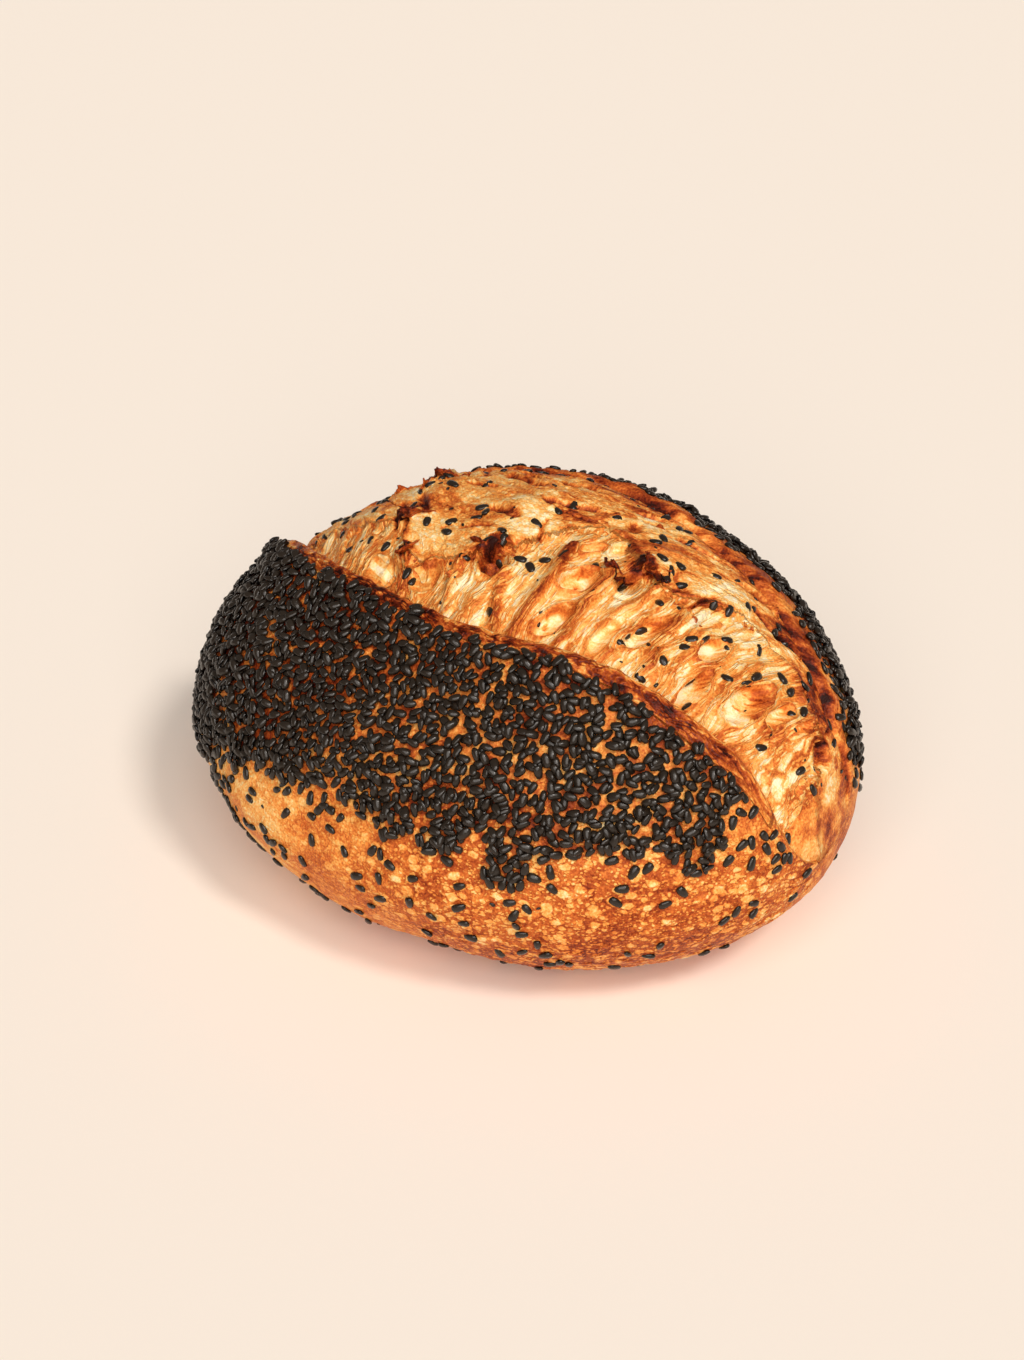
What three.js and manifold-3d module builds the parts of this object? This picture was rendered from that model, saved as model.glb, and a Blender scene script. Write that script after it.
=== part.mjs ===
// A sourdough loaf: one long slash opened in the oven into an ear, the seeded flap in front, and a bloom of
// torn crumb behind it. Black sesame is baked onto the crust. Millimetres, +Z up, the slash along X, and the
// ear facing -Y.
//
// The loaf is drawn as a melon is cut. Its two poles are the ends of the slash, "lat" runs from pole to pole
// in degrees, and "turn" goes round the slash's axis: 0 is level in front, 90 is up, 180 is level behind.
import * as THREE from "three";
import { mergeVertices } from "three/addons/utils/BufferGeometryUtils.js";
import Module from "manifold-3d";

// The dome, before anything tears.
const HALF_LENGTH = 90;
const HALF_WIDTH = 72.5;
const HIP_HEIGHT = 34; // the widest level, and the height of the heart that every reach is measured from
const CROWN_RISE = 59.5; // from the hips to the crown
const BELLY_DROP = 43; // the round underside would end this far under the hips, and is baked flat before that
const EGG = 0.09; // the +X end is fuller
const BACK_SHIFT = 0.06; // the slash is cut in front of the middle, so the loaf grows to the back
const BACK_SPRING = 0.14; // and more so above the hips

// Gentle unevenness of the whole loaf: a height, and two waves over the direction from the heart.
const LUMPS = [
  { height: 0.7, first: [4.1, 0, 2.3, 0.6], second: [0, 3.7, -1.9, 1.1] },
  { height: 0.45, first: [8.3, -3.1, 0, 2], second: [0, 5.3, 7.2, 0] },
];

// The slash, in degrees of turn and of lat. The ear's lip runs over the loaf in a slow wave, sweeps back at
// its -X end and drops down the side at its +X end. The far edge of the bloom runs behind the +X end.
const EAR_TURN = 60.7;
const EAR_WAVE = { by: 1.9, period: 65, start: -3.6 };
const EAR_SWEEP = { by: 33.5, from: -10, over: 54 };
const EAR_DROP = { by: 28, from: 66, over: 16 };
const EAR_GROWS = [-84, -66]; // the lip rises to its full height between these
const EAR_FADES = [60, 78];
const EAR_LAST = 0.25; // what is left of its height past them
const FAR_TURN = 131;
const FAR_SWEEP = { by: 45, from: 70, to: 86 };
const FAR_GROWS = [-80, -55];
const FAR_FADES = [66, 82];
const SLASH_LEAST = 12; // the bloom stays at least this wide

// The bloom. Behind the ear it is stretched into strands, and higher up the skin tore off them and creased.
const TEAR_STEP = 2; // how far the skin stands over the strands at the tear
const TEAR_FADES = [0.6, 0.85]; // shares of the way across
const TEAR_SHARE = 0.35; // where the tear is, and how much further it is across towards +X
const TEAR_SWEEP = { by: 0.17, from: 8, to: 40 };
const TEAR_RAGS = [
  { by: 0.035, period: 20, start: 0 },
  { by: 0.02, period: 7.6, start: -1.2 },
];
const STRAND_PITCH = 11.4;
const STRAND_PLACE = 24; // a strand stands here along X
const STRAND_HEIGHT = 0.85;
const HAIR_PITCH = 6.5; // thinner strands between them
const HAIR_HEIGHT = 0.45;
const CREASE_PITCH = 9;
const CREASE_HEIGHT = 0.35;
const LEFT_SINK = { by: 3.5, from: 22, to: 52 }; // the bloom lies lower at its -X end

// The lip of the ear from the front of the flap to the bloom: distance from the ear line, shift along the
// surface towards the bloom, and lift off the dome. The shift goes back after the tip and undercuts the lip.
const LIP = [
  [-26, 0, 0],
  [-15, 0, 0.2],
  [-8, 0.2, 1.1],
  [-3.6, 0.9, 2.1],
  [-1.4, 1.3, 2.5],
  [0, 1.8, 2.2],
  [1.1, 1.2, 0.6],
  [2.4, -0.7, -1.4],
  [4.2, -1.4, -2.8],
  [7.5, -0.6, -2.3],
  [13, 0, -1],
  [21, 0, 0],
];

// The far edge of the bloom: distance from the far line, shift, and lift of the seeded crust over the rim.
const RIM = [
  [-9, 0, 0],
  [-4.5, 0, -1.3],
  [-1.6, 0.3, -1.7],
  [-0.4, -0.9, 0.6],
  [0.8, -0.6, 1.3],
  [4, 0, 1.1],
  [12, 0, 0],
];

// Bubbles torn open in the bloom: place along X and across from the ear line, half length along X,
// half length across, and depth.
const POCKETS = [
  [29, 22, 4.2, 4.4, 2.8],
  [31, 10, 3.2, 5.5, 2.4],
  [51, 14, 4, 8, 2.6],
  [43, 10, 3, 7, 2.2],
  [66, 8, 4, 7, 2.8],
  [77, 11, 4.5, 8, 3],
  [65, 18, 4, 4, 2.6],
  [84, 11, 3.5, 6, 2.4],
  [90, 25, 4, 5, 3.2],
  [8, 22, 4.5, 3.2, 3.4],
  [40, 25, 3, 3.2, 3.4],
  [-9, 13, 6, 4.5, 3],
  [-24, 8, 8, 4.5, 1.8],
  [28, 56, 5, 3, 2.4],
  [49, 51, 6, 3, 2.4],
  [64, 42, 7, 3, 2.6],
  [76, 32, 6, 3, 2.6],
  [-40, 40, 6, 3, 2.2],
];

// Scabs of skin that tore, curled up and browned: place along X, across, half length, half width, height.
const SCABS = [
  [-30, 44, 5, 9, 2.6],
  [-25, 26, 6, 4, 1.8],
  [-17, 17, 5, 3, 1.8],
  [1, 15, 3, 8, 1.8],
  [7, 27, 5, 3, 2.2],
  [40, 30, 6, 3, 2.8],
  [55, 25, 9, 3, 1.6],
  [65, 32, 6, 4, 1.2],
  [9, 51, 8, 2.5, 1.2],
  [-8, 57, 9, 2.5, 1.2],
];

// Black sesame, at its true size, sunk into the crust.
const SEED_LENGTH = 3.3;
const SEED_WIDTH = 2;
const SEED_THICK = 1.1;
const SEED_SINK = 0.3; // of the thickness
const SEED_COUNT = 156;
const SEED_TRIES = 24; // places tried for each seed, of which the one with most room is taken
const SEED_DRAW = 7; // starts the random draw
const SEED_FLOOR = 5; // none lie lower than this
const COAT_END_LAT = 66; // the thick coats in front and behind end here, at the +X end
const COAT_LOW_TURN = 14; // the front coat's lower edge, as high behind
const COAT_SAG = { by: 14, from: 30, to: 60 }; // and how far it comes down towards -X
const COAT_MARGIN = 2.5; // between a coat and the slash
const SPARSE_TURN = 20; // seeds are scattered down to this far under the hips
const SPARSE_SHARE = 0.4; // how thickly, beside a coat
const LOWEST_SHARE = 0.15; // and under that
const SPARSE_SPACING = 2.2; // scattered seeds keep this many times the coat's distance

// The mesh: meridians from pole to pole, fine over the slash and coarse under it.
const FINE_STEPS = 84;
const COARSE_STEPS = 32;
const LOWER_LINES = 9; // coarse meridians from the flat underside up to the lip, and down again behind
const BLOOM_LINES = 13; // fine meridians between the lip and the far rim
const FLAT_TURN = -50; // the dome is under the floor from here to the middle of the underside
const SLENDER_COS = 0.45; // past this the lip narrows towards the poles
const SLASH_FILL = 0.9; // the lip and the rim together take no more than this of the slash's width
const CUT_SIZE = 400; // the block that takes the underside off flat
const WELD = 1e-4;

const wasm = await Module();
wasm.setup();

const radians = THREE.MathUtils.degToRad;
const degrees = THREE.MathUtils.radToDeg;
const smooth = THREE.MathUtils.smoothstep;
const heart = new THREE.Vector3(0, 0, HIP_HEIGHT);

function directionOf(lat, turn) {
  const around = Math.cos(radians(lat));
  return new THREE.Vector3(
    Math.sin(radians(lat)),
    -around * Math.cos(radians(turn)),
    around * Math.sin(radians(turn)),
  );
}

// How far the dome reaches from the heart in a direction.
function reachOf(direction) {
  const { x, y, z } = direction;
  const rise = z > 0 ? CROWN_RISE : BELLY_DROP;
  const even = 1 / Math.hypot(x / HALF_LENGTH, y / HALF_WIDTH, z / rise);
  return even * (1 + EGG * x + (BACK_SHIFT + BACK_SPRING * Math.max(z, 0)) * y);
}

const ramp = (place, [from, to]) => smooth(place, from, to);
const wave = (place, { by, period, start }) => by * Math.sin((2 * Math.PI * (place - start)) / period);

// The turn of the ear's lip, of the far edge of the bloom, and the share of the way where the skin is torn.
function earTurn(lat) {
  const backwards = EAR_SWEEP.by * Math.max(0, (EAR_SWEEP.from - lat) / EAR_SWEEP.over) ** 2;
  const downwards = EAR_DROP.by * Math.max(0, (lat - EAR_DROP.from) / EAR_DROP.over) ** 2;
  return Math.min(EAR_TURN + backwards - downwards - wave(lat, EAR_WAVE), FAR_TURN - SLASH_LEAST);
}

function farTurn(lat) {
  return FAR_TURN + FAR_SWEEP.by * smooth(lat, FAR_SWEEP.from, FAR_SWEEP.to);
}

function tearShare(lat) {
  const rags = TEAR_RAGS.map((rag) => wave(lat, rag)).reduce((sum, by) => sum + by);
  return TEAR_SHARE + TEAR_SWEEP.by * smooth(lat, TEAR_SWEEP.from, TEAR_SWEEP.to) + rags;
}

// Millimetres along the surface for one degree of turn. Near the poles it is held up, so that the lip and the
// far rim still fit beside each other.
function turnScale(lat) {
  const narrow = Math.max(Math.cos(radians(lat)), SLENDER_COS);
  const natural = radians(1) * narrow * reachOf(directionOf(0, 90));
  const least = (LIP.at(-1)[0] - RIM[0][0]) / (SLASH_FILL * (farTurn(lat) - earTurn(lat)));
  return Math.max(natural, least);
}

// A value between the rows of a table whose first column is the place.
function readTable(table, place, column) {
  const next = table.findIndex((row) => row[0] > place);
  if (next === 0) return table[0][column];
  if (next < 0) return table.at(-1)[column];
  const [low, high] = [table[next - 1], table[next]];
  const share = (place - low[0]) / (high[0] - low[0]);
  return THREE.MathUtils.lerp(low[column], high[column], share);
}

// A round hump or dent of one at its middle and nothing at its edge.
function mound(along, across, [x, y, halfX, halfY]) {
  const r = ((along - x) / halfX) ** 2 + ((across - y) / halfY) ** 2;
  return r < 1 ? (1 - r) ** 1.5 : 0;
}

function lumps({ x, y, z }) {
  const swing = ([alongX, alongY, alongZ, phase]) => Math.sin(x * alongX + y * alongY + z * alongZ + phase);
  const heights = LUMPS.map(({ height, first, second }) => height * swing(first) * swing(second));
  return heights.reduce((sum, height) => sum + height);
}

// How far the strands of stretched crumb stand up. They run from the ear to the tear, a little bent.
function strands(along, across) {
  const bent = along + wave(across, { by: 1.4, period: 39, start: 10 });
  const start = STRAND_PLACE - STRAND_PITCH / 4; // a quarter of a wave before its top
  const broad = wave(bent, { by: STRAND_HEIGHT, period: STRAND_PITCH, start });
  return broad + wave(bent, { by: HAIR_HEIGHT, period: HAIR_PITCH, start: 0 });
}

// The creases of the skin past the tear run along the slash.
function creases(along, across) {
  const bent = across + wave(along, { by: 2, period: 45, start: 0 });
  return wave(bent, { by: CREASE_HEIGHT, period: CREASE_PITCH, start: 0 });
}

// The shift towards the bloom and the lift off the dome at a place on the loaf.
function relief(lat, turn) {
  const scale = turnScale(lat);
  const across = (turn - earTurn(lat)) * scale;
  const beyond = (turn - farTurn(lat)) * scale;
  const share = across / (across - beyond);
  const direction = directionOf(lat, turn);
  const along = reachOf(direction) * direction.x;

  const ear = ramp(lat, EAR_GROWS) * (1 - (1 - EAR_LAST) * ramp(lat, EAR_FADES));
  const rim = ramp(lat, FAR_GROWS) * (1 - ramp(lat, FAR_FADES));
  const shift = ear * readTable(LIP, across, 1) + rim * readTable(RIM, beyond, 1);
  let lift = ear * readTable(LIP, across, 2) + rim * readTable(RIM, beyond, 2);

  if (across > 0 && beyond < 0) {
    const inside = ramp(across, [1, 9]) * ramp(-beyond, [0, 8]) * ramp(90 - Math.abs(lat), [6, 22]);
    const upper = ramp(share, [tearShare(lat) - 0.02, tearShare(lat) + 0.03]);
    const ragged = 0.6 + wave(along, { by: 0.4, period: 17, start: -2 });
    lift += inside * TEAR_STEP * ragged * upper * (1 - ramp(share, TEAR_FADES));
    lift += inside * (upper * creases(along, across) + (1 - upper) * strands(along, across));
    lift -= inside * LEFT_SINK.by * smooth(-lat, LEFT_SINK.from, LEFT_SINK.to) * (1 - 0.6 * share);
    for (const pocket of POCKETS) lift -= inside * pocket[4] * mound(along, across, pocket);
    for (const scab of SCABS) lift += inside * scab[4] * mound(along, across, scab);
  }
  return [shift, lift + lumps(direction)];
}

function surfacePoint(lat, turn) {
  const direction = directionOf(lat, turn);
  const onwards = new THREE.Vector3(0, Math.sin(radians(turn)), Math.cos(radians(turn)));
  const [shift, lift] = relief(lat, turn);
  return heart
    .clone()
    .addScaledVector(direction, reachOf(direction) + lift)
    .addScaledVector(onwards, shift);
}

// The meridians of the mesh, from under the loaf, over it and back: where each runs, and in how many steps.
function meridians() {
  const between = (from, to, lines) =>
    Array.from({ length: lines }, (_, i) => [from, to, (i + 1) / (lines + 1)]);
  const front = () => FLAT_TURN;
  const back = () => 180 - FLAT_TURN;
  const lip = LIP.map(([place]) => (lat) => earTurn(lat) + place / turnScale(lat));
  const rim = RIM.map(([place]) => (lat) => farTurn(lat) + place / turnScale(lat));
  const blend = ([from, to, share]) => (lat) => THREE.MathUtils.lerp(from(lat), to(lat), share);
  const coarse = (turnOf) => ({ turnOf, steps: COARSE_STEPS });
  const fine = (turnOf) => ({ turnOf, steps: FINE_STEPS });
  return [
    coarse(() => -90),
    coarse(front),
    ...between(front, lip[0], LOWER_LINES).map(blend).map(coarse),
    ...lip.map(fine),
    ...between(lip.at(-1), rim[0], BLOOM_LINES).map(blend).map(fine),
    ...rim.map(fine),
    ...between(rim.at(-1), back, LOWER_LINES).map(blend).map(coarse),
    coarse(back),
  ];
}

function breadGeometry() {
  const points = [surfacePoint(-90, 0), surfacePoint(90, 0)];
  const chains = meridians().map(({ turnOf, steps }) => {
    const chain = [{ lat: -90, index: 0 }];
    for (let step = 1; step < steps; step += 1) {
      const lat = -90 + (180 * step) / steps;
      chain.push({ lat, index: points.length });
      points.push(surfacePoint(lat, turnOf(lat)));
    }
    return [...chain, { lat: 90, index: 1 }];
  });

  // Neighbouring meridians are closed like a zip: the side whose next point comes first moves on.
  const faces = [];
  chains.forEach((near, line) => {
    const far = chains[(line + 1) % chains.length];
    let [i, j] = [0, 0];
    while (i < near.length - 1 || j < far.length - 1) {
      const nearMoves = j === far.length - 1 || (i < near.length - 1 && near[i + 1].lat <= far[j + 1].lat);
      const next = nearMoves ? near[i + 1] : far[j + 1];
      const face = [near[i].index, next.index, far[j].index];
      if (new Set(face).size === 3) faces.push(...face);
      if (nearMoves) i += 1;
      else j += 1;
    }
  });
  const geometry = new THREE.BufferGeometry().setFromPoints(points);
  geometry.setIndex(faces);
  return geometry;
}

function solidOf(geometry) {
  const bare = geometry.clone();
  bare.deleteAttribute("normal");
  bare.deleteAttribute("uv");
  const merged = mergeVertices(bare, WELD);
  return new wasm.Manifold(
    new wasm.Mesh({
      numProp: 3,
      vertProperties: merged.getAttribute("position").array,
      triVerts: new Uint32Array(merged.index.array),
    }),
  );
}

function geometryOf(solid) {
  const mesh = solid.getMesh();
  const geometry = new THREE.BufferGeometry();
  geometry.setAttribute("position", new THREE.BufferAttribute(mesh.vertProperties, mesh.numProp));
  geometry.setIndex(new THREE.BufferAttribute(mesh.triVerts, 1));
  return geometry;
}

// A small repeatable random draw from 0 to 1.
function makeDraw(start) {
  let state = start;
  return () => {
    state = (state * 1664525 + 1013904223) % 4294967296;
    return state / 4294967296;
  };
}

// How thickly the sesame lies at a point: 1 in a coat, less where it is scattered, 0 where there is none.
function seedCover(point) {
  const { x, y, z } = point.clone().sub(heart).normalize();
  const lat = degrees(Math.asin(x));
  const turn = degrees(Math.atan2(z, -y));
  const round = turn < -90 ? turn + 360 : turn; // behind and under the hips it goes on past 180
  if (point.z < SEED_FLOOR) return 0;
  const lowest = COAT_LOW_TURN - COAT_SAG.by * smooth(-lat, COAT_SAG.from, COAT_SAG.to);
  const inFront = round > lowest && round < earTurn(lat) - COAT_MARGIN;
  const behind = round > farTurn(lat) + COAT_MARGIN && round < 180 - lowest;
  if ((inFront || behind) && lat < COAT_END_LAT) return 1;
  return round > -SPARSE_TURN && round < 180 + SPARSE_TURN ? SPARSE_SHARE : LOWEST_SHARE;
}

// A seed: a flat drop, pointed at -X and blunt at +X, with its middle at the origin. Its outline lies at half
// its thickness, with a short ridge over it and one point under it, which goes into the crust.
function seedGeometry() {
  const outline = [
    [-0.5, 0],
    [-0.1, -0.44],
    [0.3, -0.5],
    [0.5, 0],
    [0.3, 0.5],
    [-0.1, 0.44],
  ];
  const shape = [...outline.map(([x, y]) => [x, y, 0]), [-0.14, 0, 0.5], [0.2, 0, 0.5], [0.1, 0, -0.5]];
  const points = shape.map(
    ([x, y, z]) => new THREE.Vector3(x * SEED_LENGTH, y * SEED_WIDTH, z * SEED_THICK),
  );
  const [left, right, under] = [6, 7, 8];
  const tops = [left, right, right, right, right, left]; // what each stretch of the outline rises to
  const faces = [left, 1, right, left, right, 5];
  tops.forEach((top, i) => {
    const next = (i + 1) % outline.length;
    faces.push(next, i, under);
    faces.push(i, next, top);
  });
  const geometry = new THREE.BufferGeometry().setFromPoints(points);
  geometry.setIndex(faces);
  return geometry;
}

// Places for the seeds, on the faces of the bread, where each keeps the most room from those before it.
function seedPlaces(bread) {
  const draw = makeDraw(SEED_DRAW);
  const soup = bread.toNonIndexed().getAttribute("position");
  const faces = [];
  let area = 0;
  for (let i = 0; i < soup.count; i += 3) {
    const corners = [0, 1, 2].map((k) => new THREE.Vector3().fromBufferAttribute(soup, i + k));
    const face = new THREE.Triangle(...corners);
    const cover = seedCover(face.getMidpoint(new THREE.Vector3()));
    area += face.getArea() * Math.sqrt(cover);
    faces.push({ face, upTo: area, cover });
  }
  const places = [];
  while (places.length < SEED_COUNT) {
    let best = null;
    for (let tried = 0; tried < SEED_TRIES; tried += 1) {
      const target = draw() * area;
      const { face, cover } = faces.find(({ upTo }) => upTo >= target);
      const [u, v] = [Math.sqrt(draw()), draw()];
      const point = face.a.clone().multiplyScalar(1 - u);
      point.addScaledVector(face.b, u * (1 - v)).addScaledVector(face.c, u * v);
      const nearest = Math.min(CUT_SIZE, ...places.map((place) => place.point.distanceTo(point)));
      const room = nearest / (cover === 1 ? 1 : SPARSE_SPACING);
      if (cover > 0 && (!best || room > best.room)) {
        best = { point, room, normal: face.getNormal(new THREE.Vector3()) };
      }
    }
    if (best) places.push({ ...best, spin: draw() * Math.PI });
  }
  return places;
}

function seedSolid({ point, normal, spin }) {
  const lie = new THREE.Quaternion().setFromUnitVectors(new THREE.Vector3(0, 0, 1), normal);
  lie.multiply(new THREE.Quaternion().setFromAxisAngle(new THREE.Vector3(0, 0, 1), spin));
  const middle = point.clone().addScaledVector(normal, SEED_THICK * (0.5 - SEED_SINK));
  return solidOf(seedGeometry().applyQuaternion(lie).translate(middle.x, middle.y, middle.z));
}

function cutFlat(solid) {
  const block = new THREE.BoxGeometry(CUT_SIZE, CUT_SIZE, CUT_SIZE).translate(0, 0, -CUT_SIZE / 2);
  return solid.subtract(solidOf(block));
}

const bread = cutFlat(solidOf(breadGeometry()));
const seeds = seedPlaces(geometryOf(bread)).map(seedSolid);
const whole = geometryOf(wasm.Manifold.union([bread, ...seeds]));

// The part's origin is the middle of the bread's footprint, on the surface that it stands on.
const footprint = geometryOf(bread);
footprint.computeBoundingBox();
const middle = footprint.boundingBox.getCenter(new THREE.Vector3());
whole.translate(-middle.x, -middle.y, 0);

const crust = new THREE.MeshStandardMaterial({ color: "#b8702c", roughness: 0.6, metalness: 0 });
const loaf = new THREE.Mesh(whole, crust);
loaf.name = "loaf";

const group = new THREE.Group();
group.add(loaf);
export default group;
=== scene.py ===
# %% [markdown]
# # A seeded sourdough loaf
#
# This lesson dresses a loaf of bread. A baker cuts one long slash, and in the oven it opens: the front
# edge curls up into an ear, and behind it the dough is stretched into strands and torn. Black sesame
# covers the crust.
#
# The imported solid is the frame, with the loaf's size and its main folds. Here it is replaced by finer
# pieces of four kinds: the crust, the torn bloom, thin flakes of skin, and the sesame, which is sown in
# three lots.

# %% Load the frame
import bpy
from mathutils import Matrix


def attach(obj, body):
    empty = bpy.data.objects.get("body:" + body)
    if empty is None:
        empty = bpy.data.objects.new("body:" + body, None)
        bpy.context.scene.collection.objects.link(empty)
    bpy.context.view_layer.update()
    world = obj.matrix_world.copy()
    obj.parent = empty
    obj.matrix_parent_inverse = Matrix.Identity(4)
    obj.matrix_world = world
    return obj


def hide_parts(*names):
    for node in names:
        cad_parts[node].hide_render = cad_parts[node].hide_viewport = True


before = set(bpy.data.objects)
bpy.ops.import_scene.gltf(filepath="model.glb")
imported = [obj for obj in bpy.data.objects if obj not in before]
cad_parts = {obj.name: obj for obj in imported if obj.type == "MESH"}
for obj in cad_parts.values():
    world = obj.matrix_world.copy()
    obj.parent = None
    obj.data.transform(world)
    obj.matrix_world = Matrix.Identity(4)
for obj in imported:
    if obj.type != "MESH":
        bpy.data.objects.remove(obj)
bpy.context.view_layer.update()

# %% Tools of the trade
import itertools
import math
from types import SimpleNamespace

import bpy
import numpy as np
from mathutils import Matrix, Vector

MM = 0.001  # the loaf is worked out in millimetres, and its meshes are in metres
print("Blender", bpy.app.version_string)

# %% [markdown]
# ## The dome
#
# The loaf is drawn as a melon is cut. The ends of the slash are its two poles: "lat" runs from one to
# the other in degrees, and "turn" goes round the slash's axis, with 0 level in front, 90 up and 180
# level behind. A sculpted mesh would do as well, but with two angles every later step can ask "where am
# I on the loaf?" and put a strand, a blister or a seed there. The numbers are the solid's own, so both
# have one shape.

# %% The dome
HALF_LENGTH = 90
HALF_WIDTH = 72.5
HIP_HEIGHT = 34  # the widest level
CROWN_RISE = 59.5
BELLY_DROP = 43
EGG = 0.09  # the +X end is fuller
BACK_SHIFT = 0.06  # the back bulges more than the front
BACK_SPRING = 0.14  # and does so most high up


def ramp(value, low, high):
    """0 below low, 1 above high, and a smooth step between."""
    t = np.clip((value - low) / (high - low), 0, 1)
    return t * t * (3 - 2 * t)


def bell(value, middle, half):
    """1 at the middle, and falling off to both sides, to a third at the distance half."""
    return np.exp(-((value - middle) / half) ** 2)


def direction(lat, turn):
    """The way from the loaf's middle to a place on its skin, one unit long."""
    lat, turn = np.radians(lat), np.radians(turn)
    around = np.cos(lat)
    return np.stack([np.sin(lat) + 0 * turn, -around * np.cos(turn), around * np.sin(turn)], -1)


def reach(way):
    """How far the dome is from the loaf's middle, that way."""
    x, y, z = way[..., 0], way[..., 1], way[..., 2]
    rise = np.where(z > 0, CROWN_RISE, BELLY_DROP)
    even = 1 / np.sqrt((x / HALF_LENGTH) ** 2 + (y / HALF_WIDTH) ** 2 + (z / rise) ** 2)
    return even * (1 + EGG * x + (BACK_SHIFT + BACK_SPRING * np.maximum(z, 0)) * y)


crown = reach(direction(0.0, 90.0)) + HIP_HEIGHT
print("the crown is", round(float(crown), 1), "mm high")

# %% The lines of the slash
EAR_TURN = 60.7  # the turn of the ear's lip, before it waves
FAR_TURN = 131  # the turn of the bloom's far edge
SLASH_LEAST = 12  # the slash is no narrower than this, in degrees
SLASH_WIDTH = 30  # and no narrower than about this, in millimetres
SHEET_LEVEL = 5.3  # where noise is read for the skin laid flat; any level would do


def ear_turn(lat):
    """The ear's lip runs back at the -X end, down at the +X end, and waves between."""
    backwards = 33.5 * np.maximum(0, (-10 - lat) / 54) ** 2
    downwards = 28 * np.maximum(0, (lat - 66) / 16) ** 2
    wave = 1.9 * np.sin(2 * np.pi * (lat + 3.6) / 65)
    return np.minimum(EAR_TURN + backwards - downwards - wave, FAR_TURN - SLASH_LEAST)


def far_turn(lat):
    """The bloom's far edge falls away behind at the +X end."""
    return FAR_TURN + 45 * ramp(lat, 70, 86)


def turn_scale(lat):
    """Millimetres along the surface for one degree of turn, held up near the poles."""
    narrow = np.maximum(np.cos(np.radians(lat)), 0.45)
    natural = math.radians(1) * narrow * reach(np.array([0.0, 0.0, 1.0]))
    return np.maximum(natural, SLASH_WIDTH / (0.9 * (far_turn(lat) - ear_turn(lat))))


def survey(lat, turn):
    """Everything that later steps ask about places on the loaf."""
    way = direction(lat, turn)
    far = reach(way)
    scale = turn_scale(lat)
    across = (turn - ear_turn(lat)) * scale  # millimetres behind the ear's lip
    beyond = (turn - far_turn(lat)) * scale  # millimetres behind the bloom's far edge
    along = far * way[..., 0]  # millimetres along the slash's axis
    arc = 64 * np.radians(lat) + 8 * np.radians(lat) ** 3 + 0 * turn  # the same, over the curved skin
    sheet = np.stack([arc, across, 0 * arc + SHEET_LEVEL], -1)  # the skin laid out flat
    share = across / (across - beyond)
    return SimpleNamespace(lat=lat, turn=turn, way=way, reach=far, spot=way * far[..., None], along=along,
                           arc=arc, across=across, beyond=beyond, share=share, sheet=sheet)


middle = survey(np.array([0.0]), np.array([90.0]))
print("the slash is", round(float(middle.across[0] - middle.beyond[0]), 1), "mm wide at the middle")

# %% [markdown]
# ## Noise that can be asked anywhere
#
# Dough is uneven at every scale. Three kinds of noise are enough: clouds, which are soft lumps, ridges,
# which are clouds folded at zero, and bubbles, which give the distance to the nearest of many scattered
# centres. Blender's own noise textures could displace a mesh too, but these can also steer the colours
# and the seeds.

# %% Clouds, ridges and bubbles
def scramble(cell, seed):
    """A repeatable number from 0 to 1 for each whole-number cell."""
    n = cell[..., 0] * 73856093 ^ cell[..., 1] * 19349663 ^ cell[..., 2] * 83492791 ^ seed * 2654435
    n = (n ^ (n >> 15)) * 2246822519 & 0xFFFFFFFF
    n = (n ^ (n >> 13)) * 3266489917 & 0xFFFFFFFF
    return ((n ^ (n >> 16)) & 0xFFFFFF) / 0xFFFFFF


def cloud(points, size, seed):
    """Smooth noise from about -1 to 1, with lumps about size across."""
    place = points / size
    cell = np.floor(place).astype(np.int64)
    inside = place - cell
    weight = inside ** 3 * (inside * (inside * 6 - 15) + 10)
    total = 0
    for corner in itertools.product((0, 1), repeat=3):
        spin = 2 * np.pi * scramble(cell + corner, seed)
        up = 2 * scramble(cell + corner, seed + 101) - 1
        flat = np.sqrt(1 - up * up)
        to = inside - corner
        slope = to[..., 0] * np.cos(spin) * flat + to[..., 1] * np.sin(spin) * flat + to[..., 2] * up
        near = np.where(corner, weight, 1 - weight)
        total = total + slope * near[..., 0] * near[..., 1] * near[..., 2]
    return 1.6 * total


def rough(points, size, octaves, seed):
    """Clouds with finer clouds on them."""
    return sum(cloud(points, size / 2 ** k, seed + k) / 2 ** k for k in range(octaves))


def ridge(points, size, seed):
    """1 on thin winding ridges, falling to 0 between them."""
    return 1 - np.minimum(1, 2.2 * np.abs(cloud(points, size, seed)))


def bubbles(points, size, seed):
    """The distance to the nearest centre, in cells, and that centre's own number from 0 to 1."""
    place = points / size
    cell = np.floor(place).astype(np.int64)
    nearest, number = np.full(place.shape[:-1], 9.0), np.zeros(place.shape[:-1])
    for offset in itertools.product((-1, 0, 1), repeat=3):
        there = cell + offset
        centre = there + np.stack([scramble(there, seed + k) for k in range(3)], -1)
        distance = np.linalg.norm(place - centre, axis=-1)
        number = np.where(distance < nearest, scramble(there, seed + 3), number)
        nearest = np.minimum(nearest, distance)
    return nearest, number


print("a cloud at one place:", cloud(np.array([[3.0, 4.0, 5.0]]), 2, 1).round(3))
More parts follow.
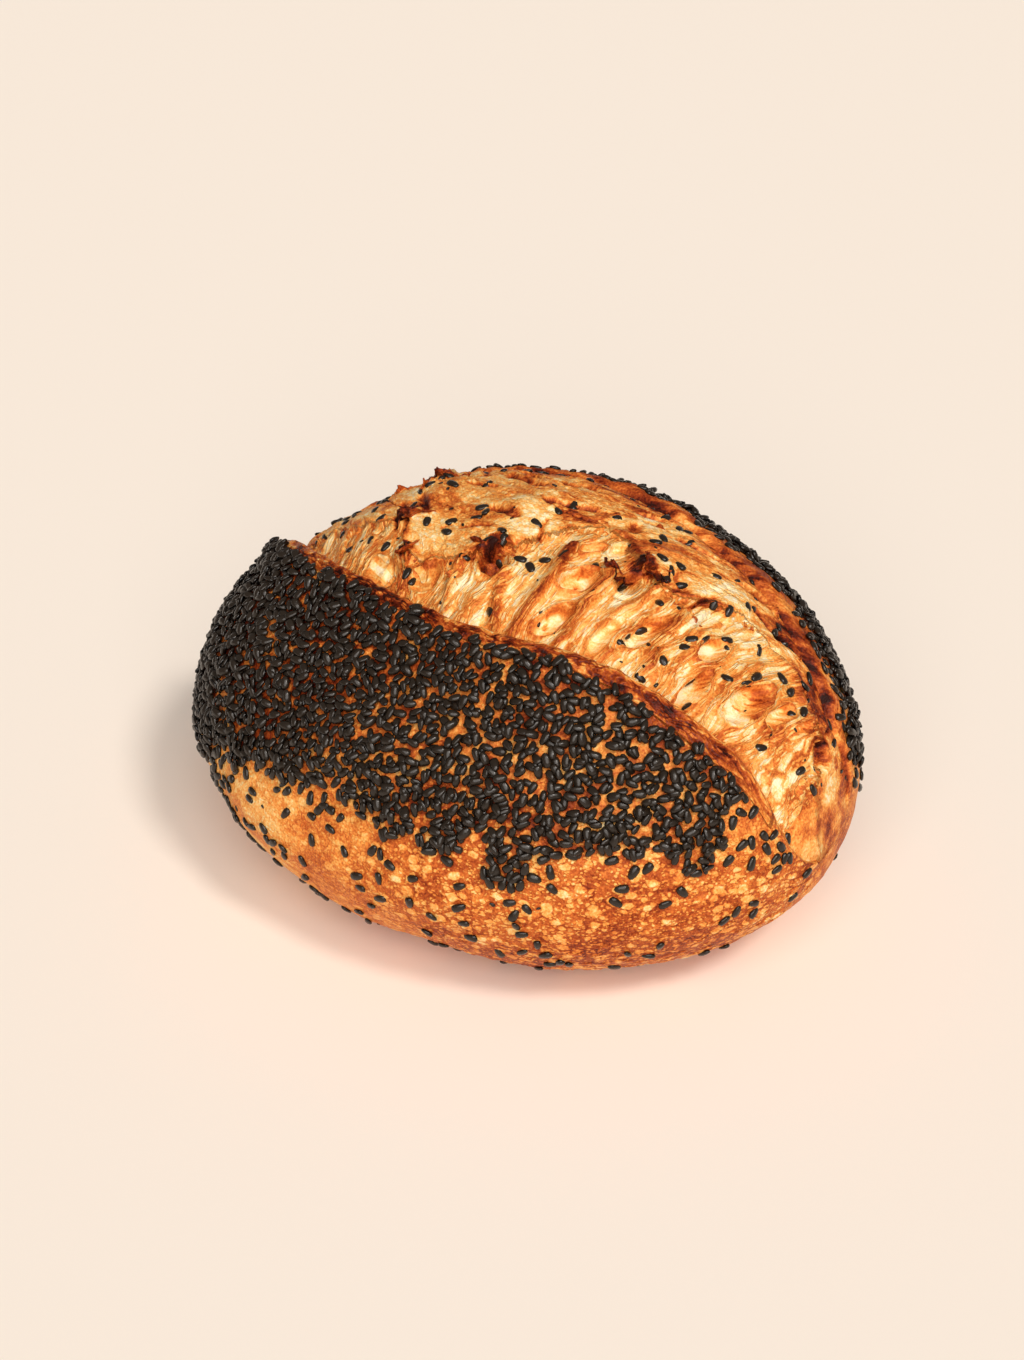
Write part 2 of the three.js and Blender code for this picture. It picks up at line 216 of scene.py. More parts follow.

# %% [markdown]
# ## The relief of the bloom
#
# Behind the ear the crumb is pulled into strands that run away from the lip, with torn bubbles between
# them. Higher up the skin of the loaf tore off the strands. It stands over them with a ragged edge, and
# is creased along the slash. The forms that catch the eye are listed one by one, and noise adds the rest.
# Each is placed in millimetres, by its arc along the slash from the loaf's middle, and its way across
# from the ear's lip.

# %% Bubbles, holes and scabs
# Bubbles torn open: arc, across, half length, half width, depth.
POCKETS = [
    (30.5, 22.4, 3.8, 4, 3.4), (33.5, 10.4, 3, 4.2, 3), (8.5, 22, 4, 3, 4.2), (46.5, 10.5, 2, 5.5, 1.3),
    (53, 14, 2.4, 5.6, 2.6), (66.8, 18, 2.8, 3.2, 2.6), (70.5, 8, 2.3, 5, 3.4), (81, 11, 3.2, 5.6, 3.2),
    (88, 16, 2.2, 4.2, 2.2), (102.5, 26.5, 3.6, 3.6, 4), (41, 26, 3, 3, 4), (-26, 8, 7, 4.6, 0.8),
    (-9, 11, 5.6, 4.6, 0.8), (27, 36, 2.1, 2.3, 1.2), (31.5, 37, 2.4, 2.6, 1.2), (94, 22, 2.2, 3, 1.4),
    (106, 17, 2.2, 2.6, 2),
]
# Holes along the far rim, drawn in the same way, and painted dark as painted shade inside them.
HOLES = [(25, 58.5, 3.4, 1.5, 2.4), (43.5, 54, 4, 2, 2.4), (59.5, 44, 6, 2.2, 3), (74, 34, 6, 2, 3),
         (104, 30, 3.4, 2.6, 3), (-40, 40, 5, 2.2, 2.2), (-8, 60, 5, 1.4, 2), (88, 32, 4, 1.3, 2),
         (7, 63, 4, 1.3, 1.8)]
# Scabs of skin, curled up and browned, with a height in place of the depth.
SCABS = [
    (-32, 45, 5, 9, 2.2), (-28, 26, 6, 4, 1.6), (-19, 16, 5, 3, 1.6), (7, 27, 5, 3, 2), (40, 31, 5, 3, 2.2),
]
print("placed by hand:", len(POCKETS), "bubbles,", len(HOLES), "holes and", len(SCABS), "scabs")

# %% Ropes, slits and the tear
# Twisted ropes of stretched crumb: arc and across where each starts and ends, half width, height, browning.
ROPES = [
    (23, 33, 27.5, 4, 1.6, 2.6, 0.8), (35, 26, 38.5, 5, 1.6, 2.6, 0.74), (54, 23, 59.5, 5, 1.5, 2, 0.5),
    (13, 20, 21, 5, 1.5, 1.8, 0.5), (62, 25, 64.5, 4, 1.2, 1.6, 0.34), (75.5, 20, 75, 3, 1.3, 1.8, 0.36),
    (46, 27, 42, 5, 1.1, 1.4, 0.3), (50, 24, 49.5, 4, 1, 1.4, 0.3), (-1, 20, 5, 4, 1.6, 1.6, 0.42),
    (-18, 16, -15, 4, 1.5, 1.3, 0.4), (92, 24, 86, 4, 1.3, 1.6, 0.3), (72, 26, 96, 22, 1.2, 1.2, 0.3),
]
# Slits where the skin cracked: arc and across where each starts and ends, half width, strength.
SLITS = [
    (7, 47.5, 17, 51.5, 1.3, 1), (-13, 57, 1, 54.6, 1.2, 0.9), (-4, 38.6, 3.5, 37.4, 1.9, 0.9),
    (54.5, 24, 56, 30, 1, 0.8), (36, 50, 46, 48, 1, 0.7), (-31, 35, -22, 30, 2, 0.8),
    (62, 37, 72, 31, 0.9, 0.6), (12, 40, 15.5, 33, 0.6, 0.6), (-20, 46, -12, 49, 1.1, 0.7),
    (30, 46, 26, 51, 1.2, 0.7), (-36, 30, -30, 22, 1.4, 0.7), (-8, 29, 0, 31, 0.8, 0.7),
]
# The line on which the skin tore: arc, across.
TEAR = [(-120, 10), (-60, 16), (-40, 20), (-32, 24), (-26, 29), (-23, 19), (-17, 15), (-8, 17), (1, 22),
        (8, 25.5), (11, 29), (14, 35), (19, 42), (24, 45), (30, 42), (36, 35), (39, 30), (44, 30), (50, 26),
        (56, 28), (63, 31), (72, 28), (84, 25), (100, 28), (130, 28)]
# Where the torn skin stands off: arc, half length, strength.
FLAPS = [(-24, 7, 0.9), (5, 7, 1.0), (40, 7, 1.2), (57, 5, 0.5)]
STRAND_PITCH = 11.4  # from one thick strand to the next
STRAND_PLACE = 24  # the arc of one of them
print("drawn by hand:", len(ROPES), "ropes,", len(SLITS), "slits and a tear of", len(TEAR), "points")


# %% Ovals, lines and craters
def mound(u, v, spot, sharp):
    """How far inside a listed oval, from 0 to 1, and the distance from its middle, 1 at its outline."""
    x, y, half_x, half_y = spot[:4]
    away = np.hypot((u - x) / half_x, (v - y) / half_y)
    return ramp(1 - away, 0, sharp), away


def band(u, v, line):
    """1 on a listed line, falling off to its sides."""
    x, y, x_end, y_end, half = line[:5]
    dx, dy = x_end - x, y_end - y
    share = np.clip(((u - x) * dx + (v - y) * dy) / (dx * dx + dy * dy), 0, 1)
    away = np.hypot(u - x - share * dx, v - y - share * dy)
    return bell(away, 0, half)


def craters(points, size, seed, least):
    """Burst bubbles with thin rims: the hollow and the rim, each from 0 to 1."""
    away, number = bubbles(points, size, seed)
    wide = 0.16 + 0.34 * number
    there = ramp(number, least, least + 0.1)
    return there * ramp(wide - away, 0, 0.13), there * bell(away - wide, 0.03, 0.07)


# %% What is listed, on the skin
def placed_forms(s):
    """What the tables place, as masks from 0 to 1 and heights in millimetres, and the run of the fibres."""
    u = s.arc + 1.5 * cloud(s.sheet, 14, 11) + 0.8 * cloud(s.sheet, 4.5, 12)
    v = s.across + 1.8 * cloud(s.sheet, 14, 13) + 0.8 * cloud(s.sheet, 4.5, 9)
    f = SimpleNamespace(u=u, v=v, fibre=u + 2 * cloud(s.sheet * (1, 0.5, 1), 11, 10))
    f.pocket = f.deep = f.rim = f.wall = f.hole = f.scab = f.high = f.rope = f.twine = f.slit = 0 * u
    for spot in POCKETS:
        inner, away = mound(u, v, spot, 0.3)
        opened_up = min(1, spot[4] / 2.6)
        painted_shade_side = ramp((v - spot[1]) / spot[3], -0.7, 0.5)
        f.pocket = np.maximum(f.pocket, inner * opened_up)
        f.deep = np.maximum(f.deep, spot[4] * inner * (1.1 - 0.3 * away))
        f.rim = np.maximum(f.rim, bell(away, 1.14, 0.12) * min(1, spot[4] / 2.5))
        # The wall mask is painted shade: the inner wall on each bubble's far side is darkened.
        f.wall = np.maximum(f.wall, 4 * inner * (1 - inner) * painted_shade_side * opened_up)
        f.fibre = f.fibre - (u - spot[0]) / np.maximum(away, 1) ** 2 * np.exp(-np.maximum(away - 1, 0))
    f.thread = np.stack([f.fibre, 0.3 * v, s.sheet[..., 2]], -1)  # the fibres run round the pockets
    for spot in HOLES:
        inner, _ = mound(u, v, spot, 0.5)
        f.hole = np.maximum(f.hole, inner)
        f.deep = np.maximum(f.deep, spot[4] * inner)
    for spot in SCABS:
        inner, _ = mound(u, v, spot, 0.6)
        f.scab = np.maximum(f.scab, inner)
        f.high = np.maximum(f.high, spot[4] * inner)
    for line in ROPES:
        there = band(u, v, line)
        f.rope = np.maximum(f.rope, there * line[6])
        f.twine = np.maximum(f.twine, there * line[5])
    for line in SLITS:
        f.slit = np.maximum(f.slit, band(u, v, line) * line[5])
    f.rope, f.twine = f.rope * (1 - f.pocket), f.twine * (1 - f.pocket)
    f.slit = ramp(f.slit, 0.25, 0.75) * 0.9
    return f


# %% [markdown]
# The crumb and the torn skin are each shaped on their own, and then joined at the tear. There the skin
# stands a step above the crumb, most of all where it has flaps.

# %% Crumb and torn skin, each on its own
def crumb_relief(s, forms):
    """How high the stretched crumb stands: thick strands, fins and veins between them, burst bubbles."""
    strand = (1 - np.abs(np.sin(np.pi * (forms.fibre - STRAND_PLACE) / STRAND_PITCH))) ** 1.6
    strand = strand * np.clip(0.8 + 0.7 * cloud(s.spot, 15, 14), 0.1, 1.3)
    fin = ridge(forms.thread, 3.4, 15) ** 1.5
    vein = ridge(forms.thread, 1.6, 16) ** 1.5
    hollow, brim = craters(np.stack([forms.u, 0.6 * forms.v, s.sheet[..., 2]], -1), 5.5, 17, 0.35)
    pull = 0.8 * strand + 0.5 * fin + 0.22 * vein - 0.9 * hollow + 0.35 * brim - 0.65
    pull = pull * (1 - 0.9 * forms.pocket) + forms.twine
    return pull, SimpleNamespace(strand=strand, fin=fin, vein=vein, hollow=hollow, brim=brim)


def skin_relief(s):
    """How high the torn skin stands: lumps, wrinkles along the slash, dimples."""
    dip, dip_brim = craters(s.spot, 2.2, 27, 0.45)
    skin = 0.75 * rough(s.sheet * (0.6, 1, 1), 10, 3, 19) + 0.3 * ridge(s.sheet * (0.35, 1, 1), 4, 29)
    wrinkle = ridge(s.sheet * (0.22, 1, 1) + 0.5 * cloud(s.sheet, 6, 30)[..., None], 5, 20) ** 4
    skin = skin + 0.35 * wrinkle - 0.3 * dip + 0.12 * dip_brim - 0.1
    return skin, dip, wrinkle


# %% The two joined at the tear
def bloom_relief(s):
    """The shift across and the lift of the bloom, with the masks that its colours need."""
    forms = placed_forms(s)
    pull, crumb = crumb_relief(s, forms)
    skin, dip, wrinkle = skin_relief(s)
    line_across = np.interp(s.arc, *zip(*TEAR))
    tear = s.across - line_across + 1.4 * cloud(s.sheet, 5, 5) + 0.3 * cloud(s.sheet, 2.6, 6)
    torn = np.clip(sum(h * bell(s.arc, x, w) for x, w, h in FLAPS), 0, 1.2)
    upper = ramp(tear, -0.5, 0.6)
    low = 1 - upper
    edge = bell(tear, 0.8, 0.9) * (0.25 + 0.75 * torn)
    # shade is painted shade: a darker strip on the crumb just under the torn skin's edge, deepest at the
    # flaps.
    shade = bell(tear, -1.3, 1.1) * (0.2 + 0.8 * torn)
    inside = ramp(s.across, 0.6, 5) * ramp(-s.beyond, 0, 5) * ramp(90 - np.abs(s.lat), 6, 20)
    fade = 1 - ramp(s.share, 0.6, 0.85)  # the step at the tear fades towards the far rim
    web = forms.pocket * (0.5 * cloud(s.spot, 2.2, 55) - 0.6 * ramp(cloud(s.spot, 1.9, 53), 0.42, 0.6))
    lift = upper * (skin + (0.5 + 1.7 * torn) * fade) + low * pull + web - 1.4 * forms.deep
    lift = lift + 0.7 * forms.rim * (1 - forms.pocket) - 1.3 * forms.slit
    lift = inside * (lift + forms.high * (0.4 + 0.6 * crumb.vein))
    lift = lift - 3.5 * inside * ramp(-s.lat, 22, 52) * (1 - 0.6 * s.share)
    crack = ramp(ridge(np.stack([0.3 * forms.u, forms.v, s.sheet[..., 2]], -1), 8, 21), 0.86, 0.97) * upper
    patch = cloud(s.sheet, 12, 28)
    slit = np.maximum(forms.slit, 0.7 * crack * ramp(patch, -0.25, 0.1))
    lift = lift - 0.9 * inside * crack * ramp(patch, -0.15, 0.2)
    masks = SimpleNamespace(upper=upper, edge=edge * inside, shade=shade * low, slit=slit * inside, dip=dip,
                            fin=crumb.fin, vein=crumb.vein, wrinkle=wrinkle, thread=forms.thread)
    for key in ("pocket", "rim", "wall", "hole", "scab", "rope"):
        setattr(masks, key, getattr(forms, key) * inside)
    for key in ("strand", "hollow", "brim"):
        setattr(masks, key, getattr(crumb, key) * low)
    return -inside * edge * fade, lift, masks


# %% [markdown]
# ## The relief of the crust
#
# The crust is smoother. It has slow lumps, dimples, and small flat blisters where steam lifted the
# skin. Its lip is drawn as a section across the ear: each row says how far the surface is pulled over
# the bloom and how far it stands off the dome. Past the tip the pull goes back, which makes the
# overhang, and then the crust dives under the bloom, so that both pieces hide their edges in the
# groove.

# %% Sections of the ear and of the far rim
# Distance from the line, pull across, lift.
LIP = [(-26, 0, 0), (-15, 0, 0.2), (-8, 0.2, 1.1), (-3.6, 0.9, 2.1), (-1.4, 1.3, 2.5), (0, 1.8, 2.2),
       (0.9, 1.6, 1.3), (1.8, 0.2, 0.2), (2.8, -1.6, -1), (4.2, -3, -3), (6, -4, -6), (9, -3, -7.5),
       (13, 0, -8)]
RIM = [(-9, 0, -8), (-5, 1.6, -6), (-2.6, 1.2, -3), (-1.2, -0.3, -0.8), (-0.3, -1.1, 0.6), (0.8, -0.6, 1.0),
       (4, 0, 0.7), (12, 0, 0)]
# The bloom's own edges: a groove behind the ear, and a shallower one before the far rim.
GROOVE = [(-3, -6.5), (-1, -5), (0.6, -3.4), (3, -2.6), (7.5, -2), (13, -0.9), (21, 0)]
GUTTER = [(-9, 0), (-4.5, -0.5), (-1.6, -1.1), (0.4, -3.4), (2.4, -6.5)]
ROUNDING = (-0.5, -0.2, 0.2, 0.5)  # a section's corners are rounded over these distances


def section(table, distance, column):
    """A value read from a section, with its corners rounded."""
    rows = np.array(table, float)
    return np.mean([np.interp(distance + d, rows[:, 0], rows[:, column]) for d in ROUNDING], axis=0)


def lumps(s):
    """Slow swells of the whole loaf."""
    x, y, z = s.way[..., 0], s.way[..., 1], s.way[..., 2]
    slow = 0.7 * np.sin(x * 4.1 + z * 2.3 + 0.6) * np.sin(y * 3.7 - z * 1.9 + 1.1)
    return slow + 0.45 * np.sin(x * 8.3 - y * 3.1 + 2) * np.sin(z * 7.2 + y * 5.3)


def opened(s):
    """1 where the slash is open, and 0 at its ends, where bloom and crust are one skin."""
    return ramp(s.lat, -84, -70) * (1 - ramp(s.lat, 72, 82))


def ear_size(s):
    """How fully the ear is drawn: 0 at the ends of the slash."""
    return ramp(s.lat, -84, -66) * (1 - 0.75 * ramp(s.lat, 60, 78))


def rim_size(s):
    """The same for the far rim."""
    return ramp(s.lat, -80, -55) * (1 - ramp(s.lat, 66, 82))


print("sections:", len(LIP), "rows for the ear,", len(RIM), "for the far rim")


# %% Surfaces of the bloom and of the crust
def bloom_surface(s):
    """The bloom's pull and lift with its edges, and its masks."""
    shift, lift, masks = bloom_relief(s)
    lift = lift + section(GROOVE, s.across, 1) * ear_size(s) + section(GUTTER, s.beyond, 1) * rim_size(s)
    return shift, lift, masks


def blisters(s):
    """Flat blisters of the lower crust and the dark seams round them, from 0 to 1."""
    stretched = s.spot * (0.75, 0.75, 1.15) + 0.9 * cloud(s.spot, 5, 41)[..., None]
    big, big_seam = craters(stretched, 4.4, 42, 0.35)
    small, small_seam = craters(stretched, 2.3, 52, 0.35)
    return np.maximum(big, 0.8 * small), np.maximum(big_seam, 0.7 * small_seam)


def blister_zone(s):
    """Where the blisters are: low on the +X half of the front, and at the +X end."""
    return ramp(s.along, -5, 35) * ramp(-s.turn, -40, -15) * ramp(s.turn, -70, -45)


def crust_surface(s):
    """The crust's pull and lift, and its masks."""
    blister, seam = blisters(s)
    zone = 0.3 + 0.7 * blister_zone(s)
    skin = 0.35 * cloud(s.spot, 13, 61) + 0.16 * rough(s.spot, 5, 2, 62)
    skin = skin + (0.36 * blister - 0.12 * seam) * zone * (1 - ramp(s.across, -6, -3))
    near_lip = bell(s.across, -0.6, 3)
    crease = ridge(s.sheet * (0.2, 1, 1) + 0.5 * cloud(s.sheet, 5, 64)[..., None], 1.6, 63)
    wrinkle = near_lip * (0.4 * crease + 0.3 * cloud(s.sheet, 2.4, 65) - 0.2)
    rim_crease = 0.5 * ridge(s.sheet * (0.25, 1, 1), 2.6, 59) + 0.5 * cloud(s.sheet, 3.5, 58) - 0.2
    wrinkle = wrinkle + bell(s.beyond, 1, 4) * rim_crease
    bloom_shift, bloom_lift, masks = bloom_surface(s)
    first = s.across < -s.beyond  # nearer to the ear than to the far rim
    within = ramp(s.across, -1, 1) * ramp(-s.beyond, -1, 1)  # 1 over the bloom
    size = np.where(first, ear_size(s), rim_size(s))
    pull = np.where(first, section(LIP, s.across, 1), section(RIM, s.beyond, 1)) * size
    level = s.sheet * (1, 0, 1)  # noise read here changes only along the slash
    pull = pull + near_lip * size * (0.7 * cloud(level, 7, 66) + 0.4 * cloud(level, 2.6, 67))
    ragged = 1 + 0.8 * cloud(level, 8, 68)
    far_cut = section(RIM, s.beyond, 2) * np.where(s.beyond > -1, ragged, 1)
    cut = np.where(first, section(LIP, s.across, 2), far_cut)
    shut = (1 - opened(s)) * within
    lift = (1 - within) * skin + wrinkle * size + np.maximum(cut, 0) * size + np.minimum(cut, 0) * opened(s)
    masks.blister = blister * zone * (1 - within)
    masks.seam = seam * zone * (1 - within)
    masks.crease = crease
    masks.within = within
    return pull + shut * bloom_shift, lift + shut * bloom_lift, masks


# %% [markdown]
# ## The coat of seeds
#
# In front, the coat reaches from just under the lip down to a ragged line. Behind, it starts past the far
# rim. Its outline comes first, because the crust under it is painted darker, as painted shade between
# the seeds.

# %% The coat's outline
def coat_low(lat):
    """The turn at which the front coat ends below."""
    return 14 - 12 * ramp(-lat, 10, 60) + 11 * ramp(lat, 32, 64)


def coat_front(s):
    """How thickly seeds lie in front, from 0 to 1: from 3 mm under the lip, with holes and gaps."""
    ragged = s.turn - coat_low(s.lat) + 6 * cloud(s.spot, 11, 81) + 5 * cloud(s.spot, 4.5, 82)
    top = -s.across - 2.9 - 2 * cloud(s.spot, 5, 83) - 0.6 * ramp(s.lat, 0, 40)
    end = ramp(s.lat, -82, -74) * (1 - ramp(s.lat + 3 * cloud(s.spot, 8, 84), 65, 68))
    holes = 1 - 0.985 * ramp(cloud(s.spot, 6.5, 85), 0.38, 0.5)
    gaps = 1 - 0.96 * ramp(cloud(s.spot, 3.6, 99), 0.3, 0.45)
    return ramp(ragged, -9, 6) ** 4 * ramp(top, -0.3, 0.5) * end * holes * gaps


def coat_back(s):
    """The same behind, from some 7 mm past the bloom's far edge, or 4 mm at the +X end."""
    ragged = 180 - s.turn - coat_low(s.lat) + 5 * cloud(s.spot, 11, 86) + 3 * cloud(s.spot, 4.5, 87)
    end = ramp(s.lat, -82, -74) * (1 - ramp(s.lat, 70, 74))
    start = 6.8 - 2.6 * ramp(s.lat, 35, 60)
    return ramp(ragged, -1.5, 1.5) * ramp(s.beyond + 2.5 * cloud(s.spot, 6, 93) - start, 0, 1.5) * end


print("in front the coat ends", round(float(coat_low(0.0)), 1), "degrees above level, at the middle")

# %% [markdown]
# ## Where it browned
#
# The oven wrote a map on the loaf: thin edges that stood up are nearly black, stretched crumb that
# opened late is still cream, and the skin between is gold to orange. One number from 0, raw cream, to
# 1, burnt, says this for each point. It could be painted by hand, but it comes out right by itself when
# it is worked out from the shapes. The same number also carries painted shade: under the seeds, on the
# far walls of torn bubbles, in holes, partly in the cracks, in the groove behind the ear and under the
# torn skin's edge.

# %% Browning
CRUST_BAKE = 0.50
CRUMB_BAKE = 0.28
SKIN_BAKE = 0.35  # of the torn skin over the crumb


def crust_bake(s, masks):
    """How brown the crust is: streaked at the -X end and darkest on the lip, with painted shade darkening it
    under the seeds.
    """
    wide = 0.12 * rough(s.spot, 30, 3, 71) + 0.07 * rough(s.spot, 6, 2, 79)
    streak = 0.12 * rough(s.spot * (0.35, 0.35, 1.6), 8, 3, 72) * (1 - ramp(s.along, -30, 20))
    left = ramp(-s.along, -5, 45) * ramp(-s.turn, -35, 0)
    base = CRUST_BAKE + wide + streak - 0.15 * left + 0.12 * blister_zone(s)
    base = base - 0.14 * masks.blister + 0.10 * masks.seam
    foot = bell(s.turn, -42, 7) + bell(s.turn, 222, 7)
    base = base - 0.06 * foot
    near_ear = bell(s.across, 0.5, 3.8) * ear_size(s)
    near_rim = bell(s.beyond, 2, 4) * rim_size(s)
    base = base + near_ear * (0.58 - 0.36 * masks.crease + 0.36 * cloud(s.sheet, 2.2, 70))
    # Painted shade between the seeds: the crust under the coat is darker, most towards the -X end and high
    # up.
    under = np.maximum(coat_front(s), coat_back(s))
    deep = ramp(-s.along + 0.8 * (s.turn - 30), 0, 40)
    base = base + under * (0.26 * deep + 0.06 + 0.3 * cloud(s.spot, 7, 94))
    streaks = ridge(s.sheet * (0.22, 1, 1), 1.8, 57)
    return base + near_rim * (0.17 + 0.22 * cloud(s.sheet * (1, 0.6, 1), 9, 69) - 0.12 * streaks)


def bloom_bake(s, masks):
    """How brown the bloom is: its crumb, its torn skin, and then what is placed on both, with painted shade
    in its hollows, under the torn skin and behind the ear.
    """
    wide = 0.07 * rough(s.spot, 18, 2, 73)
    lower = CRUMB_BAKE + 0.07 * masks.strand + 0.09 * masks.fin + 0.06 * masks.brim - 0.05 * masks.hollow
    lower = lower + 0.46 * masks.rope - 0.04 * masks.vein - 0.03 * ramp(s.lat, 15, 45)
    lower = lower + 0.13 * ramp(-s.lat, -10, 15) + 0.06 * ramp(s.share, 0.2, 0.45)
    lower = lower + 0.07 * rough(masks.thread, 5, 2, 76) + 0.08 * cloud(s.sheet, 6, 77)
    spots, _ = bubbles(s.spot + 0.6 * cloud(s.spot, 3, 90)[..., None], 2.4, 74)
    blotch = rough(s.sheet * (0.6, 1, 1), 9, 3, 75)
    scorched = ramp(cloud(s.sheet * (0.7, 1, 1), 11, 89), 0.18, 0.5)
    burnt = scorched * ramp(ridge(s.sheet * (0.5, 1, 1), 5, 56), 0.2, 0.8)
    upper = SKIN_BAKE + 0.22 * blotch + 0.34 * burnt - 0.14 * ramp(0.42 - spots, 0, 0.2)
    upper = upper - 0.06 * masks.dip + 0.08 * masks.wrinkle + 0.10 * ramp(s.share, 0.65, 0.95)
    bake_and_shade = lower * (1 - masks.upper) + upper * masks.upper
    web = 0.08 + 0.16 * rough(s.spot, 2.2, 2, 55) + 0.34 * ramp(cloud(s.spot, 1.9, 53), 0.42, 0.6)
    bake_and_shade = bake_and_shade * (1 - 0.78 * masks.pocket) + web * masks.pocket
    # Painted shade on the far inner walls of bubbles; their rims are browned.
    bake_and_shade = bake_and_shade + 0.30 * masks.wall + 0.20 * masks.rim * (1 - masks.pocket)
    # Holes are darker as painted shade inside them; slits partly as browned skin at the crack, partly as
    # painted shade in it.
    bake_and_shade = bake_and_shade + 0.5 * masks.hole + 0.5 * masks.slit
    bake_and_shade = bake_and_shade + masks.edge * (0.48 + 0.4 * cloud(s.spot, 4, 78)) + 0.34 * masks.shade
    bake_and_shade = bake_and_shade + masks.scab * (0.34 + 0.5 * cloud(s.spot, 4, 91)) + wide
    gutter = bell(s.beyond, -1.5, 4) * rim_size(s)
    # groove is painted shade: darker in the groove just behind the ear's lip.
    groove = bell(s.across, 1.5, 1.4) * ear_size(s)
    tip = ramp(s.lat, 58, 72) * (0.10 + 0.30 * rough(s.spot, 6, 3, 54))
    torn_rim = ramp(ridge(s.sheet * (0.4, 1, 1), 4, 52), 0.5, 0.85)
    return bake_and_shade + gutter * (0.08 + 0.22 * cloud(s.sheet, 7, 92) + 0.3 * torn_rim) + 0.25 * groove + tip


print("browning before it varies: crust", CRUST_BAKE, "crumb", CRUMB_BAKE, "torn skin", SKIN_BAKE)

# %% [markdown]
# ## From numbers to a skin
#
# Both pieces are grids of points, closed into tubes whose ends are capped. The crust goes once round
# the loaf. The bloom's tube is its torn skin and a straight way back through the inside, where nobody
# looks. The columns are crowded where the ear curls and spread out underneath, so that the faces go
# where detail is.

# %% Making a mesh
BREAD_MIDDLE = (7.892, 4.308, 0)  # the solid was moved by this to centre its box
FLOOR_ROUNDING = 1.2  # how softly the underside meets the floor, in square millimetres
KINDS = {1: ("FLOAT", "value"), 3: ("FLOAT_VECTOR", "vector"), 4: ("QUATERNION", "value")}


def put(name, data):
    """A new object at the origin, linked to the scene."""
    thing = bpy.data.objects.new(name, data)
    bpy.context.collection.objects.link(thing)
    return thing


def write_values(mesh, values):
    """Store values on the mesh's points: numbers, vectors or rotations, which their width tells apart."""
    for key, value in values.items():
        table = np.asarray(value, np.float32).reshape(len(mesh.vertices), -1)
        kind, field = KINDS[table.shape[1]]
        mesh.attributes.new(key, kind, "POINT").data.foreach_set(field, table.ravel())


print("values on a mesh's points can be", [kind for kind, _ in KINDS.values()])


# %% Points, caps and columns
def place(s, pull, lift):
    """Points on the loaf in millimetres, from the pull across and the lift off the dome."""
    turn = np.radians(s.turn)
    beside = np.stack([0 * turn, np.sin(turn), np.cos(turn)], -1)
    spot = s.way * (s.reach + lift + lumps(s))[..., None] + beside * pull[..., None]
    spot = spot + (0, 0, HIP_HEIGHT) - np.array(BREAD_MIDDLE)
    spot[..., 2] = (spot[..., 2] + np.sqrt(spot[..., 2] ** 2 + FLOOR_ROUNDING)) / 2
    return spot


def capped(grid):
    """A grid's values as a list, and after them the means of its first and last rows."""
    flat = grid.reshape(grid.shape[0] * grid.shape[1], -1)
    return np.concatenate([flat, grid[0].mean(0).reshape(1, -1), grid[-1].mean(0).reshape(1, -1)])


def tube(name, grid, values):
    """A closed mesh from rows of points that each go once round, with a cap at each end."""
    rows, columns = grid.shape[:2]
    here = np.arange(rows * columns).reshape(rows, columns)
    beside = np.roll(here, -1, axis=1)
    quads = np.stack([here[:-1], here[1:], beside[1:], beside[:-1]], -1).reshape(-1, 4).tolist()
    first, last = rows * columns, rows * columns + 1
    caps = [(first, a, b) for a, b in zip(here[0].tolist(), beside[0].tolist())]
    caps += [(last, b, a) for a, b in zip(here[-1].tolist(), beside[-1].tolist())]
    mesh = bpy.data.meshes.new(name)
    mesh.from_pydata((capped(grid) * MM).tolist(), [], quads + caps)
    mesh.shade_smooth()
    write_values(mesh, {key: capped(value) for key, value in values.items()})
    print(name, "has", len(quads) * 2 + len(caps), "triangles")
    return put(name, mesh)


def spread(edges, counts):
    """Columns between edges, each an array with one value per row, with counts columns in each gap."""
    parts = []
    for low, high, count in zip(edges[:-1], edges[1:], counts):
        parts.append(low + (high - low) * np.arange(count) / count)
    return np.concatenate(parts, axis=1)


def bloom_flow(s, masks):
    """Where the bloom's fine patterns are read: along its fibres, or on its torn skin as it lies."""
    return np.where((masks.upper > 0.5)[..., None], s.sheet * (0.7, 1, 1), masks.thread)


